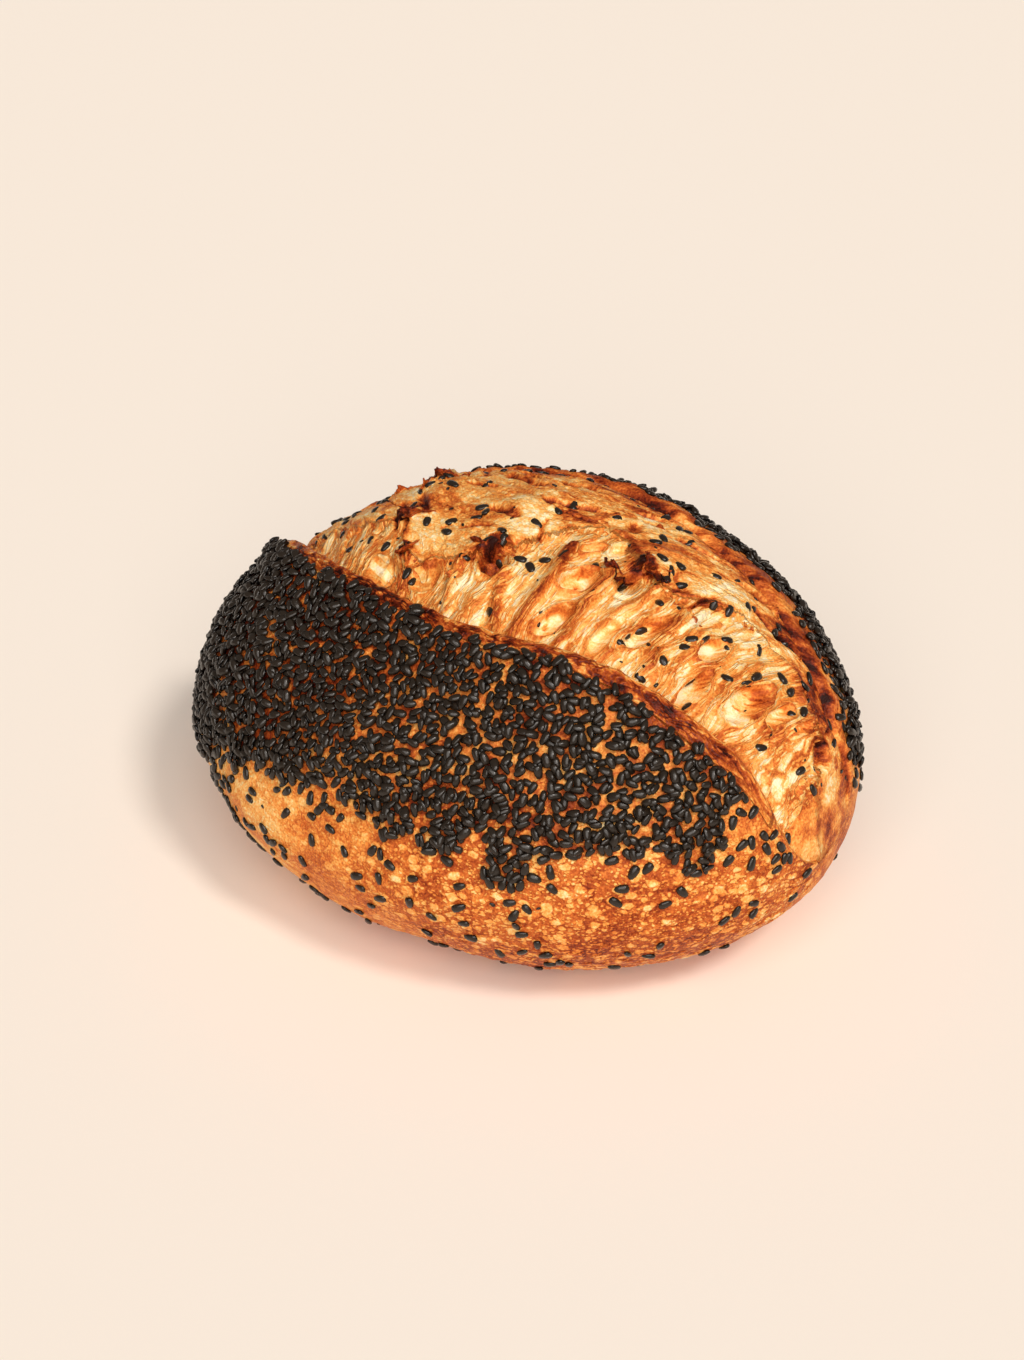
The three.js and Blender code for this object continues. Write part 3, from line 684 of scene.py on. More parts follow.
# %% The crust and the bloom
def make_crust():
    """The crust's mesh, with the survey and the points of its grid."""
    lat = np.linspace(-88.5, 88.5, 262)[:, None]
    scale = turn_scale(lat)
    ear, far = ear_turn(lat), far_turn(lat)
    edges = [-120 + 0 * lat, -58 + 0 * lat, ear - 9 / scale, ear + 6 / scale, far - 8 / scale,
             far + 4 / scale, 238 + 0 * lat, 240 + 0 * lat]
    turn = spread(edges, [18, 150, 44, 16, 28, 98, 2])
    s = survey(lat + 0 * turn, turn)
    pull, lift, masks = crust_surface(s)
    grid = place(s, pull, lift)
    bake_and_shade = crust_bake(s, masks) * (1 - masks.within) + bloom_bake(s, masks) * masks.within
    gloss = 0.5 * bell(s.across, -0.5, 3.5) * ear_size(s) + 0.3 * masks.blister + 0.2
    shut = (masks.within > 0.5)[..., None]
    lip = ((s.across > -3) & (s.across < 6) & (ear_size(s) > 0.3)) | ((s.beyond > -6) & (s.beyond < 3))
    flow = np.where(shut, bloom_flow(s, masks), grid * (0.8, 0.8, 1.1))
    flow = np.where(lip[..., None], s.sheet * (0.35, 1.3, 1), flow)
    near_lip = bell(s.across, -0.5, 3) * ear_size(s)
    cells = (0.45 + 0.55 * blister_zone(s)) * (1 - masks.within) + 0.2 * masks.within + 0.6 * near_lip
    values = {"bake_and_shade": bake_and_shade, "gloss": gloss, "flow": flow * MM, "cells": cells, "grain": 0.4 + 0.9 * near_lip}
    return tube("crust", grid, values), s, grid


def make_bloom():
    """The bloom's mesh, with the survey and the points of its outer skin."""
    lat = np.linspace(-86, 86, 440)[:, None]
    scale = turn_scale(lat)
    turn = spread([ear_turn(lat) - 3 / scale, far_turn(lat) + 2.4 / scale], [200])
    s = survey(lat + 0 * turn, turn)
    shift, lift, masks = bloom_surface(s)
    lift = lift - 0.6 * (1 - opened(s))  # where the slash is shut, it lies under the crust
    bake_and_shade = bloom_bake(s, masks)
    grid = place(s, shift, lift)
    steps = np.linspace(1, 0, 10)[1:-1, None]
    back = grid[:, None, 0] + (grid[:, None, -1] - grid[:, None, 0]) * steps
    whole = np.concatenate([grid, back], axis=1)
    outer = bake_and_shade.shape[1]  # the columns of the torn skin, before the way back
    fine = np.zeros(whole.shape[:2])  # how clearly blisters and lines show
    values = {"bake_and_shade": fine + 0.3, "gloss": fine + 0.25, "flow": whole * MM, "cells": fine, "grain": fine}
    values["bake_and_shade"][:, :outer] = bake_and_shade
    values["flow"][:, :outer] = bloom_flow(s, masks) * MM
    fine[:, :outer] = 0.95 - 0.45 * masks.upper - 0.4 * masks.pocket
    return tube("bloom", whole, values), s, grid


crust, crust_survey, crust_grid = make_crust()
bloom, bloom_survey, bloom_grid = make_bloom()

# %% [markdown]
# ## Flakes of crisp skin
#
# Where the skin tore, its edge dried first and curled up into brittle flakes, nearly black at their
# tips. They are thinner than the grid can show, so each one is a small curved sheet of its own, rooted
# in the torn edge and closed to a shell 0.4 mm thick.

# %% Where the flakes stand
# Arc, across, length, how far each reaches, the way it leans in degrees (0 is towards the ear, 180 away from
# it), how steeply it rises in degrees, browning.
FLAKES = [
    (7, 25, 9, 6.5, 20, 45, 0.96), (3, 26, 6, 4.5, -30, 60, 0.92), (10, 27, 5, 4, 60, 50, 0.8),
    (5, 23, 5, 3, 0, 75, 0.95), (38, 28, 9, 6.5, 10, 45, 1.06), (43, 31, 8, 6, 40, 50, 1.1),
    (35, 29, 7, 5, -40, 60, 1.0), (40, 26, 5, 3, -10, 30, 0.8), (39, 31, 5, 3.5, 150, 60, 0.92),
    (-20, 17, 10, 5, 10, 50, 0.86), (-16, 14, 6, 3.5, -20, 35, 0.66), (-24, 27, 10, 5, 20, 30, 0.86),
    (-30, 45, 8, 5, 0, 55, 0.95), (-26, 50, 6, 3.5, 100, 50, 0.8), (-33, 38, 6, 4, 60, 40, 0.75),
    (1, 15, 6, 3, -60, 30, 0.66), (-1, 21, 7, 3.5, 80, 25, 0.62), (52, 26, 6, 3.5, 15, 35, 0.78),
    (59, 23, 6, 3, -15, 40, 0.72), (65, 31, 6, 4, 40, 20, 0.66), (22, 46, 8, 3, 170, 20, 0.62),
    (12, 51, 8, 2.5, 20, 30, 0.7), (-8, 57, 8, 2.5, 160, 35, 0.72), (30, 55, 6, 3, 10, 40, 0.75),
    (62, 41, 7, 3.5, 185, 45, 0.7), (75, 32, 6, 3.5, 175, 50, 0.75), (49, 51, 6, 3, 170, 40, 0.75),
    (85, 25, 5, 3, 150, 40, 0.7), (-44, 36, 6, 3.5, 20, 45, 0.78), (-14, 36, 6, 3, 40, 25, 0.6),
]
FLAKE_GRID = (13, 8)  # points along the tear, and out from it
FLAKE_HALF_THICK = 0.2


def skin_of(grid, steps):
    """Positions, outward normals and areas at the points of a grid that is first evened out, so that the
    finest relief is ignored."""
    even = grid
    for axis in (0, 1):
        for _ in range(steps):
            even = (even + np.roll(even, -1, axis) + np.roll(even, 1, axis)) / 3
    down = (np.roll(even, -1, 0) - np.roll(even, 1, 0)) / 2
    side = (np.roll(even, -1, 1) - np.roll(even, 1, 1)) / 2
    normal = np.cross(down, side)
    area = np.linalg.norm(normal, axis=-1)
    normal = normal / np.maximum(area, 1e-9)[..., None]
    area[:2] = area[-2:] = area[:, :2] = area[:, -2:] = 0  # the evening went round the grid's edges
    return even, normal, area


crust_skin_points = skin_of(crust_grid, 2)
bloom_skin_points = skin_of(bloom_grid, 3)
print("the crust's grid covers", round(float(crust_skin_points[2].sum() / 100)), "square centimetres")


# %% Making the flakes
def root_of(s, skin, arc, across, lean):
    """The point where a flake stands, and the directions up from it, ahead and sideways."""
    spots, normals, _ = skin
    away = (s.arc - arc) ** 2 + (s.across - across) ** 2
    row, column = np.unravel_index(np.argmin(away), away.shape)
    up = normals[row, column]
    ahead = spots[row, column - 4] - spots[row, column]
    ahead = ahead - up * (ahead @ up)
    ahead = ahead / np.linalg.norm(ahead)
    side = np.cross(up, ahead)
    c, d = math.cos(math.radians(lean)), math.sin(math.radians(lean))
    return spots[row, column], up, ahead * c + side * d, side * c - ahead * d


def curled_sheet(number, root, length, out, rise, dark):
    """The middle surface of one flake, and its browning, which grows towards the tip."""
    spot, up, ahead, side = root
    rows, columns = FLAKE_GRID
    u = np.linspace(-1, 1, rows)[:, None]
    v = np.linspace(0, 1, columns)[None, :]
    local = np.stack([u * 3 + 0 * v, v * 2 + 0 * u, 0 * u * v + 7 * number], -1)
    ragged = 0.4 + 0.6 * (1 - u ** 2) + 0.3 * cloud(local * (1, 0, 1), 0.9, 95)
    angle = math.radians(rise) * (0.2 + 1.3 * v) + 0.5 * cloud(local, 1.6, 96)
    reach_out = np.cumsum(np.cos(angle) * out * ragged / columns, axis=1) - 0.8
    reach_up = np.cumsum(np.sin(angle) * out * ragged / columns, axis=1) - 0.7
    buckle = 0.35 * cloud(local, 2, 97)
    sheet = (spot + side * (u * length / 2 * (1 - 0.35 * v))[..., None] +
             ahead * reach_out[..., None] + up * (reach_up + buckle - 0.4 * u ** 2)[..., None])
    return sheet, dark - 0.40 + 0.30 * v + 0.12 * cloud(local, 0.9, 98)


def shell(sheet, start):
    """The points on both sides of a sheet, and the faces of the closed shell that they make."""
    rows, columns = sheet.shape[:2]
    skin_way = np.cross(np.gradient(sheet, axis=1), np.gradient(sheet, axis=0))
    skin_way = skin_way / np.maximum(np.linalg.norm(skin_way, axis=-1), 1e-6)[..., None]
    both = np.concatenate([sheet + FLAKE_HALF_THICK * skin_way, sheet - FLAKE_HALF_THICK * skin_way])
    here = np.arange(rows * columns).reshape(rows, columns) + start
    quads = np.stack([here[:-1, :-1], here[:-1, 1:], here[1:, 1:], here[1:, :-1]], -1).reshape(-1, 4)
    loop = np.concatenate([here[0], here[1:, -1], here[-1, -2::-1], here[-2:0:-1, 0]])
    under = loop + rows * columns
    rim = np.stack([loop, under, np.roll(under, -1), np.roll(loop, -1)], -1)
    return both.reshape(-1, 3), np.concatenate([quads, quads[:, ::-1] + rows * columns, rim])


def make_flakes(skin, s):
    """One mesh of all the flakes, on the bloom's skin."""
    points, faces, bake_and_shade = [], [], []
    for number, (arc, across, length, out, lean, rise, dark) in enumerate(FLAKES):
        sheet, tone = curled_sheet(number, root_of(s, skin, arc, across, lean), length, out, rise, dark)
        both, closed = shell(sheet, len(points))
        points += both.tolist()
        faces += closed.tolist()
        bake_and_shade += np.concatenate([tone, tone]).ravel().tolist()
    places = np.array(points) * MM
    mesh = bpy.data.meshes.new("flakes")
    mesh.from_pydata(places.tolist(), [], faces)
    mesh.shade_smooth()
    even = np.ones(len(points))
    write_values(mesh, {"bake_and_shade": bake_and_shade, "gloss": 0.4 * even, "cells": 0.2 * even, "grain": 0.9 * even,
                        "flow": places})
    print("flakes:", len(FLAKES), "with", 2 * len(faces), "triangles")
    return put("flakes", mesh)


flakes = make_flakes(bloom_skin_points, bloom_survey)

# %% [markdown]
# ## Tools for node trees
#
# Materials and Geometry Nodes are both trees of nodes, so one small function adds a node to either. Each
# input of the new node is a value, a socket, or another node, whose first output is then taken.

# %% Adding nodes
def linear(code):
    """A colour from its sRGB hex code."""
    parts = [int(code[i:i + 2], 16) / 255 for i in (1, 3, 5)]
    return (*[c / 12.92 if c <= 0.04045 else ((c + 0.055) / 1.055) ** 2.4 for c in parts], 1)


def add(tree, kind, inputs=None, **settings):
    """Add a node with its settings, values and links."""
    node = tree.nodes.new(kind)
    for key, value in settings.items():
        setattr(node, key, value)
    for key, value in (inputs or {}).items():
        if isinstance(value, bpy.types.Node):
            value = value.outputs[0]
        if isinstance(value, bpy.types.NodeSocket):
            tree.links.new(value, node.inputs[key])
        else:
            node.inputs[key].default_value = value
    return node


def new_material(name):
    """A material and its node tree, still empty."""
    material = bpy.data.materials.new(name)
    material.use_nodes = True
    material.node_tree.nodes.clear()
    return material, material.node_tree


print("raw cream in linear light:", [round(c, 3) for c in linear("#fdebc4")])

# %% [markdown]
# ## Bread
#
# In the steam of the oven the starch on a loaf turns to a gel, and then dries to a thin glassy film
# over browned dough. That gives the crust its slight gloss, its blisters and its fine wrinkles. The
# crumb of the bloom tore open after the steam was gone, so it is matt, paler and full of fibres, and
# the flakes are skin that dried right through. Light enters all of them a little. One recipe makes the
# three: the browning number, which also carries painted shade, picks the colour, and the piece's own
# attributes say where there are blisters and lines. A painted image could do it too, but it would smear
# where the skin is torn. The raised lines are also painted paler, as a painted highlight on their ridges.

# %% The bread's patterns
MATH = "ShaderNodeMath"
NOISE = "ShaderNodeTexNoise"


def bread_patterns(tree):
    """Raised lines, blister tops, blotches and freckles, each from about 0 to 1. Sizes are in metres."""
    flow = add(tree, "ShaderNodeAttribute", attribute_name="flow").outputs["Vector"]
    # Everything is read from a place that wanders by about half a millimetre, so that outlines are wobbly.
    wobble = add(tree, NOISE, {"Vector": flow, "Scale": 1 / 0.003, "Detail": 2}).outputs["Color"]
    there = add(tree, "ShaderNodeVectorMath", {0: wobble, 1: (0.0018,) * 3, 2: flow},
                operation="MULTIPLY_ADD")
    # Fine raised lines, 0.3 to 0.7 mm apart, are the level lines of a 7 mm noise.
    field = add(tree, NOISE, {"Vector": there, "Scale": 1 / 0.007, "Detail": 2})
    wave = add(tree, MATH, {0: field, 1: 70}, operation="MULTIPLY")
    wave = add(tree, MATH, {0: wave}, operation="SINE")
    wave = add(tree, MATH, {0: wave}, operation="ABSOLUTE")
    line = add(tree, MATH, {0: 1, 1: wave}, operation="SUBTRACT")
    line = add(tree, MATH, {0: line, 1: 1.8}, operation="POWER")
    # Flat blisters fill cells of 2.8, 1.4 and 0.8 mm, each out to a radius of its own.
    tops = []
    for size in (0.0028, 0.0014, 0.0008):
        cell = add(tree, "ShaderNodeTexVoronoi", {"Vector": there, "Scale": 1 / size}).outputs
        chance = add(tree, "ShaderNodeSeparateColor", {"Color": cell["Color"]})
        radius = add(tree, MATH, {0: chance, 1: 0.45, 2: 0.06}, operation="MULTIPLY_ADD")
        inside = add(tree, MATH, {0: radius, 1: cell["Distance"]}, operation="SUBTRACT")
        slope = add(tree, MATH, {0: inside, 1: 9, 2: 0.5}, operation="MULTIPLY_ADD")
        slope = add(tree, MATH, {0: 0, 1: slope}, operation="MAXIMUM")
        tops.append(add(tree, MATH, {0: 1, 1: slope}, operation="MINIMUM"))
    small = add(tree, MATH, {0: tops[1], 1: tops[2]}, operation="MAXIMUM")
    small = add(tree, MATH, {0: small, 1: 0.8}, operation="MULTIPLY")
    top = add(tree, MATH, {0: tops[0], 1: small}, operation="MAXIMUM")
    # Blotches of 3 mm and freckles of 0.6 mm.
    blotch = add(tree, NOISE, {"Vector": there, "Scale": 1 / 0.003, "Detail": 4})
    here = add(tree, "ShaderNodeTexCoord").outputs["Object"]
    freckle = add(tree, NOISE, {"Vector": here, "Scale": 1 / 0.0006, "Detail": 3})
    return line, top, blotch, freckle


# %% The bread's colour and gloss
# From raw cream over gold and orange to char.
BAKES = [(0.0, "#fdebc4"), (0.12, "#fcd797"), (0.26, "#f9b864"), (0.40, "#ec903e"), (0.54, "#ca6527"),
         (0.68, "#a04216"), (0.83, "#6a1f08"), (1.0, "#2b0a04")]


def bread_material(name):
    """Browned bread, from the attributes bake, gloss, cells and grain, with patterns that follow flow."""
    material, tree = new_material(name)
    line, top, blotch, freckle = bread_patterns(tree)
    level, gloss, cells, grain = (add(tree, "ShaderNodeAttribute", attribute_name=key).outputs["Fac"]
                                  for key in ("bake_and_shade", "gloss", "cells", "grain"))
    blister = add(tree, MATH, {0: top, 1: cells}, operation="MULTIPLY")
    for pattern, share in ((blotch, 0.28), (freckle, 0.55)):
        centred = add(tree, MATH, {0: pattern, 1: 0.5}, operation="SUBTRACT")
        level = add(tree, MATH, {0: centred, 1: share, 2: level}, operation="MULTIPLY_ADD")
    # Raised lines are painted paler, a painted highlight on their ridges, and the skin between them a little
    # darker; grain sets how much.
    between = add(tree, MATH, {0: 0.25, 1: line}, operation="SUBTRACT")
    share = add(tree, MATH, {0: grain, 1: 0.15}, operation="MULTIPLY")
    level = add(tree, MATH, {0: between, 1: share, 2: level}, operation="MULTIPLY_ADD")
    level = add(tree, MATH, {0: blister, 1: -0.30, 2: level}, operation="MULTIPLY_ADD")
    shade = add(tree, "ShaderNodeValToRGB", {"Fac": level})
    stops = shade.color_ramp.elements
    while len(stops) < len(BAKES):
        stops.new(0.5)
    for stop, (position, code) in zip(stops, BAKES):
        stop.position = position
        stop.color = linear(code)
    # The same patterns in metres, as relief: lines, blisters and freckles about 0.2 mm high.
    rise = add(tree, MATH, {0: grain, 1: 0.0002}, operation="MULTIPLY")
    height = add(tree, MATH, {0: line, 1: rise}, operation="MULTIPLY")
    for pattern, rise in ((blister, 0.00022), (freckle, 0.00026)):
        height = add(tree, MATH, {0: pattern, 1: rise, 2: height}, operation="MULTIPLY_ADD")
    relief = add(tree, "ShaderNodeBump", {"Height": height, "Strength": 1, "Distance": 1})
    polish = add(tree, "ShaderNodeMapRange", {"Value": gloss, "To Min": 0.55, "To Max": 0.28})
    skin = add(tree, "ShaderNodeBsdfPrincipled", {
        "Base Color": shade, "Roughness": polish, "Normal": relief, "Specular IOR Level": 0.16,
        "Subsurface Weight": 0.08, "Subsurface Radius": (1, 0.4, 0.15), "Subsurface Scale": 0.001})
    add(tree, "ShaderNodeOutputMaterial", {"Surface": skin})
    return material


for piece, name in ((crust, "Baked sourdough crust"), (bloom, "Torn crumb of the bloom"),
                    (flakes, "Crisp torn skin")):
    piece.data.materials.append(bread_material(name))
    print(piece.name, "is made of:", name)

# %% [markdown]
# ## Sowing the sesame
#
# The dough is rolled in a tray of seeds, so they lie in nearly two layers and at every angle. A physics
# simulation would settle them, but a simple rule looks the same: seeds are dropped one by one, and each
# new one rests on those that it touches. Two flat round bodies touch when their distance along the skin
# and their difference in height together reach the sum of their sizes, which gives the height. A seed
# that leans on one side only tilts away from it. One that would end too high rolls off.

# %% The size of a seed
SEED = (3.45, 2.15, 1.25)  # length, width and thickness of a black sesame seed
CELL = 4  # seeds are found again by the cell of this width that they lie in
FLOOR_GAP = 2.4  # none is dropped nearer to the floor than this


def radius(heading, way, size):
    """How far a seed of this heading reaches along a direction in the skin."""
    a, b = SEED[0] / 2 * size, SEED[1] / 2 * size
    along = np.sum(heading * way, -1)
    return a * b / np.sqrt((b * along) ** 2 + a * a * np.maximum(0, 1 - along ** 2))


print("a seed is", SEED[0], "mm long, and may lie", SEED[2], "mm higher on another")


# %% Dropping seeds
class Sowing:
    """Seeds dropped so far: their places, directions, sizes, heights over the skin and tilts."""

    def __init__(self, seed):
        self.dice = np.random.default_rng(seed)
        self.spot, self.normal, self.heading, self.size, self.lift, self.lean = [], [], [], [], [], []
        self.cells = {}

    def near(self, spot):
        """The numbers of the seeds in the cells round a place."""
        x, y, z = (int(c) for c in np.floor(spot / CELL))
        found = []
        for key in itertools.product((x - 1, x, x + 1), (y - 1, y, y + 1), (z - 1, z, z + 1)):
            found += self.cells.get(key, [])
        return found

    def drop(self, spot, normal, limit):
        """Let one seed fall on the skin, unless it would end higher than the limit."""
        turned = self.dice.normal(size=3)
        heading = np.cross(normal, turned)
        heading = heading / np.linalg.norm(heading)
        # Sizes vary by some 7 percent.
        size = float(np.clip(self.dice.normal(1, 0.07), 0.82, 1.15))
        lift, lean = 0.0, np.zeros(3)
        others = self.near(spot)
        if others:
            gap = np.array([self.spot[k] for k in others]) - spot
            gap = gap - (gap @ normal)[:, None] * normal
            distance = np.linalg.norm(gap, axis=1) + 1e-6
            way = gap / distance[:, None]
            theirs = radius(np.array([self.heading[k] for k in others]), way, 1)
            closeness = distance / (theirs + radius(heading, way, size))
            rise = SEED[2] * np.sqrt(np.maximum(0, 1 - closeness ** 2))
            rise = np.where(rise > 0, rise + np.array([self.lift[k] for k in others]), 0)
            # It leans away from the seeds under it, and the more it leans the lower it lies.
            if rise.max() > 0:
                lean = -(way * rise[:, None]).sum(0) / rise.sum()
                lift = rise.max() * (1 - 0.45 * np.linalg.norm(lean))
                lean = lean * min(1, rise.max() / 0.9) * 0.62
        if lift > limit:
            return
        key = tuple(int(c) for c in np.floor(spot / CELL))
        self.cells.setdefault(key, []).append(len(self.spot))
        for store, value in ((self.spot, spot), (self.normal, normal), (self.heading, heading),
                             (self.size, size), (self.lift, lift), (self.lean, lean)):
            store.append(value)

    def sow(self, skin, weight, count, limit):
        """Try this many places, chosen by area and weight."""
        spots, normals, area = skin
        chance = (area * weight).ravel()
        picks = self.dice.choice(chance.size, count, p=chance / chance.sum())
        for pick in picks:
            row, column = divmod(int(pick), spots.shape[1])
            u, v = self.dice.random(2)
            spot = spots[row, column] * (1 - u) + spots[row + 1, column] * u
            spot = spot + (spots[row, column + 1] - spots[row, column]) * v
            if spot[2] > FLOOR_GAP:
                self.drop(spot, normals[row, column], limit)


# %% [markdown]
# ## Where the seeds lie
#
# Below the coat the seeds thin out. The bloom opened after the rolling, so it has only the few seeds that
# fell or were carried up, and these are half baked in. A number per square millimetre says how dense they
# are, and its sum over the skin says how many to drop.

# %% Seeds outside the coat
CAUGHT = [(104, 24), (67, 17), (4, 26)]  # arc and across of a few that torn skin caught


def strays(s):
    """Seeds per square millimetre on the crust below the coat."""
    under = coat_low(s.lat) - np.where(s.turn < 90, s.turn, 180 - s.turn)
    left = ramp(-s.along, -15, 25)
    dense = (0.032 + 0.09 * left) * np.exp(-np.maximum(under, 0) / 24)
    dense = dense + 0.14 * np.exp(-np.maximum(under, 0) / 4)
    clumps = ramp(cloud(s.spot, 9, 88), -0.1, 0.5)
    skirt = np.where(s.turn < 90, ramp(s.turn, -46, -38), ramp(-s.turn, -224, -216))
    outside = np.where(s.turn < 90, ramp(-s.across, 2.5, 3.5), ramp(s.beyond, 0.5, 1))
    return dense * (0.3 + 2.2 * clumps) * skirt * outside


def strays_bloom(s):
    """Seeds per square millimetre on the bloom."""
    upper = ramp(s.share, 0.3, 0.5)
    dense = 0.008 + 0.009 * upper + 0.03 * ramp(s.beyond, -9, -2) + 0.012 * ramp(-s.along, 30, 60)
    clumps = ramp(cloud(s.spot, 7, 89), -0.2, 0.5)
    caught = sum(np.exp(-((s.arc - x) / 5) ** 2 - ((s.across - y) / 5) ** 2) for x, y in CAUGHT)
    dense = dense * (0.2 + 1.6 * clumps) + 0.06 * caught
    return dense * ramp(s.across, 1.6, 3) * ramp(-s.beyond, 1.4, 2.2)


def total(skin, weight):
    """How many seeds a density makes on a skin."""
    return int(float((skin[2] * weight).sum()))


# %% The sowing
# Each call tries a number of seeds, and keeps those that end no higher than its last value, in millimetres.
front = Sowing(1)
front.sow(crust_skin_points, coat_front(crust_survey), 24000, 1.3)
behind = Sowing(2)
behind.sow(crust_skin_points, coat_back(crust_survey), 17000, 1.1)
print("seeds in the coat:", len(front.spot), "in front and", len(behind.spot), "behind")
loose = Sowing(3)
on_crust = strays(crust_survey) * (1 - coat_front(crust_survey)) * (1 - coat_back(crust_survey))
on_bloom = strays_bloom(bloom_survey)
loose.sow(crust_skin_points, on_crust, total(crust_skin_points, on_crust), 0.3)
crust_strays = len(loose.spot)
loose.sow(bloom_skin_points, on_bloom, total(bloom_skin_points, on_bloom), 0.2)
whole_seeds = len(loose.spot)
print("seeds scattered on the crust:", crust_strays, "and on the bloom:", whole_seeds - crust_strays)
# Broken bits of seeds, fewer on the crust.
loose.sow(bloom_skin_points, 0.2 + on_bloom * 20, 130, 0.3)
loose.sow(crust_skin_points, on_crust, 60, 0.3)
for k in range(whole_seeds, len(loose.spot)):
    loose.size[k] *= loose.dice.uniform(0.25, 0.5)
print("and bits:", len(loose.spot) - whole_seeds)

# %% [markdown]
# ## A seed, repeated
#
# One sesame seed is a flat drop. Geometry Nodes makes it from a small sphere and puts a copy on every
# point, turned by the point's own rotation. It could be done with mesh copies in a loop, but as nodes
# the size of all seeds stays a single number. Each seed keeps a number, "top", that runs from -0.5 on
# its under side to 0.5 on its upper side, because the material paints the upper side paler, as painted
# light, and the under side darker, as painted shade.

# %% Geometry Nodes for the seeds
def seed_tree():
    """The tree that puts a seed on each point. Its inputs are the seed's sizes and its material."""
    tree = bpy.data.node_groups.new("sesame seeds", "GeometryNodeTree")
    face = tree.interface
    face.new_socket("Geometry", in_out="INPUT", socket_type="NodeSocketGeometry")
    for name, value in zip(("Length", "Width", "Thickness"), SEED):
        socket = face.new_socket(name, in_out="INPUT", socket_type="NodeSocketFloat")
        socket.default_value = value * MM
    face.new_socket("Material", in_out="INPUT", socket_type="NodeSocketMaterial")
    face.new_socket("Geometry", in_out="OUTPUT", socket_type="NodeSocketGeometry")
    given = add(tree, "NodeGroupInput").outputs
    ball = add(tree, "GeometryNodeMeshUVSphere", {"Segments": 8, "Rings": 5, "Radius": 0.5})
    at = add(tree, "GeometryNodeInputPosition")
    apart = add(tree, "ShaderNodeSeparateXYZ", {"Vector": at}).outputs
    # The girth along the seed: 0.95 + 1.3 z z - 0.45 z, from its blunt end, z = -0.5, to its point, 0.5.
    square = add(tree, MATH, {0: apart["Z"], 1: apart["Z"]}, operation="MULTIPLY")
    full = add(tree, MATH, {0: square, 1: 1.3, 2: 0.95}, operation="MULTIPLY_ADD")
    girth = add(tree, MATH, {0: apart["Z"], 1: -0.45, 2: full}, operation="MULTIPLY_ADD")
    wide = add(tree, MATH, {0: apart["X"], 1: girth}, operation="MULTIPLY")
    thick = add(tree, MATH, {0: apart["Y"], 1: girth}, operation="MULTIPLY")
    unit = add(tree, "ShaderNodeCombineXYZ", {"X": apart["Z"], "Y": wide, "Z": thick})
    sizes = add(tree, "ShaderNodeCombineXYZ", {
        "X": given["Length"], "Y": given["Width"], "Z": given["Thickness"]})
    drop = add(tree, "ShaderNodeVectorMath", {0: unit, 1: sizes}, operation="MULTIPLY")
    # The height across the seed's thickness is kept as "top", for painted light above and painted shade
    # below.
    marked = add(tree, "GeometryNodeStoreNamedAttribute", {
        "Geometry": ball, "Name": "top", "Value": apart["Y"]}, data_type="FLOAT", domain="POINT")
    shaped = add(tree, "GeometryNodeSetPosition", {"Geometry": marked, "Position": drop})
    smooth = add(tree, "GeometryNodeSetShadeSmooth", {"Geometry": shaped})
    turned = add(tree, "GeometryNodeInputNamedAttribute", {"Name": "turned"}, data_type="QUATERNION")
    size = add(tree, "GeometryNodeInputNamedAttribute", {"Name": "size"}, data_type="FLOAT")
    copies = add(tree, "GeometryNodeInstanceOnPoints", {
        "Points": given["Geometry"], "Instance": smooth,
        "Rotation": turned.outputs["Attribute"], "Scale": size.outputs["Attribute"]})
    real = add(tree, "GeometryNodeRealizeInstances", {"Geometry": copies})
    dressed = add(tree, "GeometryNodeSetMaterial", {"Geometry": real, "Material": given["Material"]})
    add(tree, "NodeGroupOutput", {"Geometry": dressed})
    return tree


seeds = seed_tree()
print("the seeds' tree has", len(seeds.nodes), "nodes")

# %% [markdown]
# ## Black sesame
#
# The seeds keep their hulls, which are black with a waxy sheen and very finely netted. The upper side
# of each seed is painted a little paler, as painted light, and its under side darker, as painted shade,
# and no two seeds are quite the same tone.

# %% The sesame's material
TONES = [(0.5, "#030101"), (1.25 / 1.4, "#261e17")]  # from black, the painted shade of under sides, to the palest, the painted light of upper sides


def seed_material():
    """Near-black hulls, painted paler on the upper side as painted light and darker below as painted shade.
    """
    material, tree = new_material("Black sesame")
    spot = add(tree, "ShaderNodeTexCoord").outputs["Object"]
    tone = add(tree, "ShaderNodeAttribute", attribute_name="tone").outputs["Fac"]
    # The hull's net is drawn 0.5 mm wide, coarser than it is, so that it shows.
    grain = add(tree, NOISE, {"Vector": spot, "Scale": 1 / 0.0005, "Detail": 3})
    top = add(tree, "ShaderNodeAttribute", attribute_name="top").outputs["Fac"]
    both = add(tree, MATH, {0: tone, 1: 0.35, 2: grain}, operation="MULTIPLY_ADD")
    # Painted light and shade: the upper side paler, the under side darker, over each seed's own tone and
    # net.
    tone_and_painted_light = add(tree, MATH, {0: top, 1: 1.1, 2: both}, operation="MULTIPLY_ADD")
    shade = add(tree, "ShaderNodeValToRGB", {"Fac": tone_and_painted_light})
    for stop, (position, code) in zip(shade.color_ramp.elements, TONES):
        stop.position = position
        stop.color = linear(code)
    dent = add(tree, "ShaderNodeBump", {"Height": grain, "Strength": 0.15, "Distance": 0.0002})
    hull = add(tree, "ShaderNodeBsdfPrincipled", {
        "Base Color": shade, "Roughness": 0.27, "Normal": dent, "Specular IOR Level": 0.38})
    add(tree, "ShaderNodeOutputMaterial", {"Surface": hull})
    return material


sesame_skin = seed_material()
print("the seeds are made of:", sesame_skin.name)


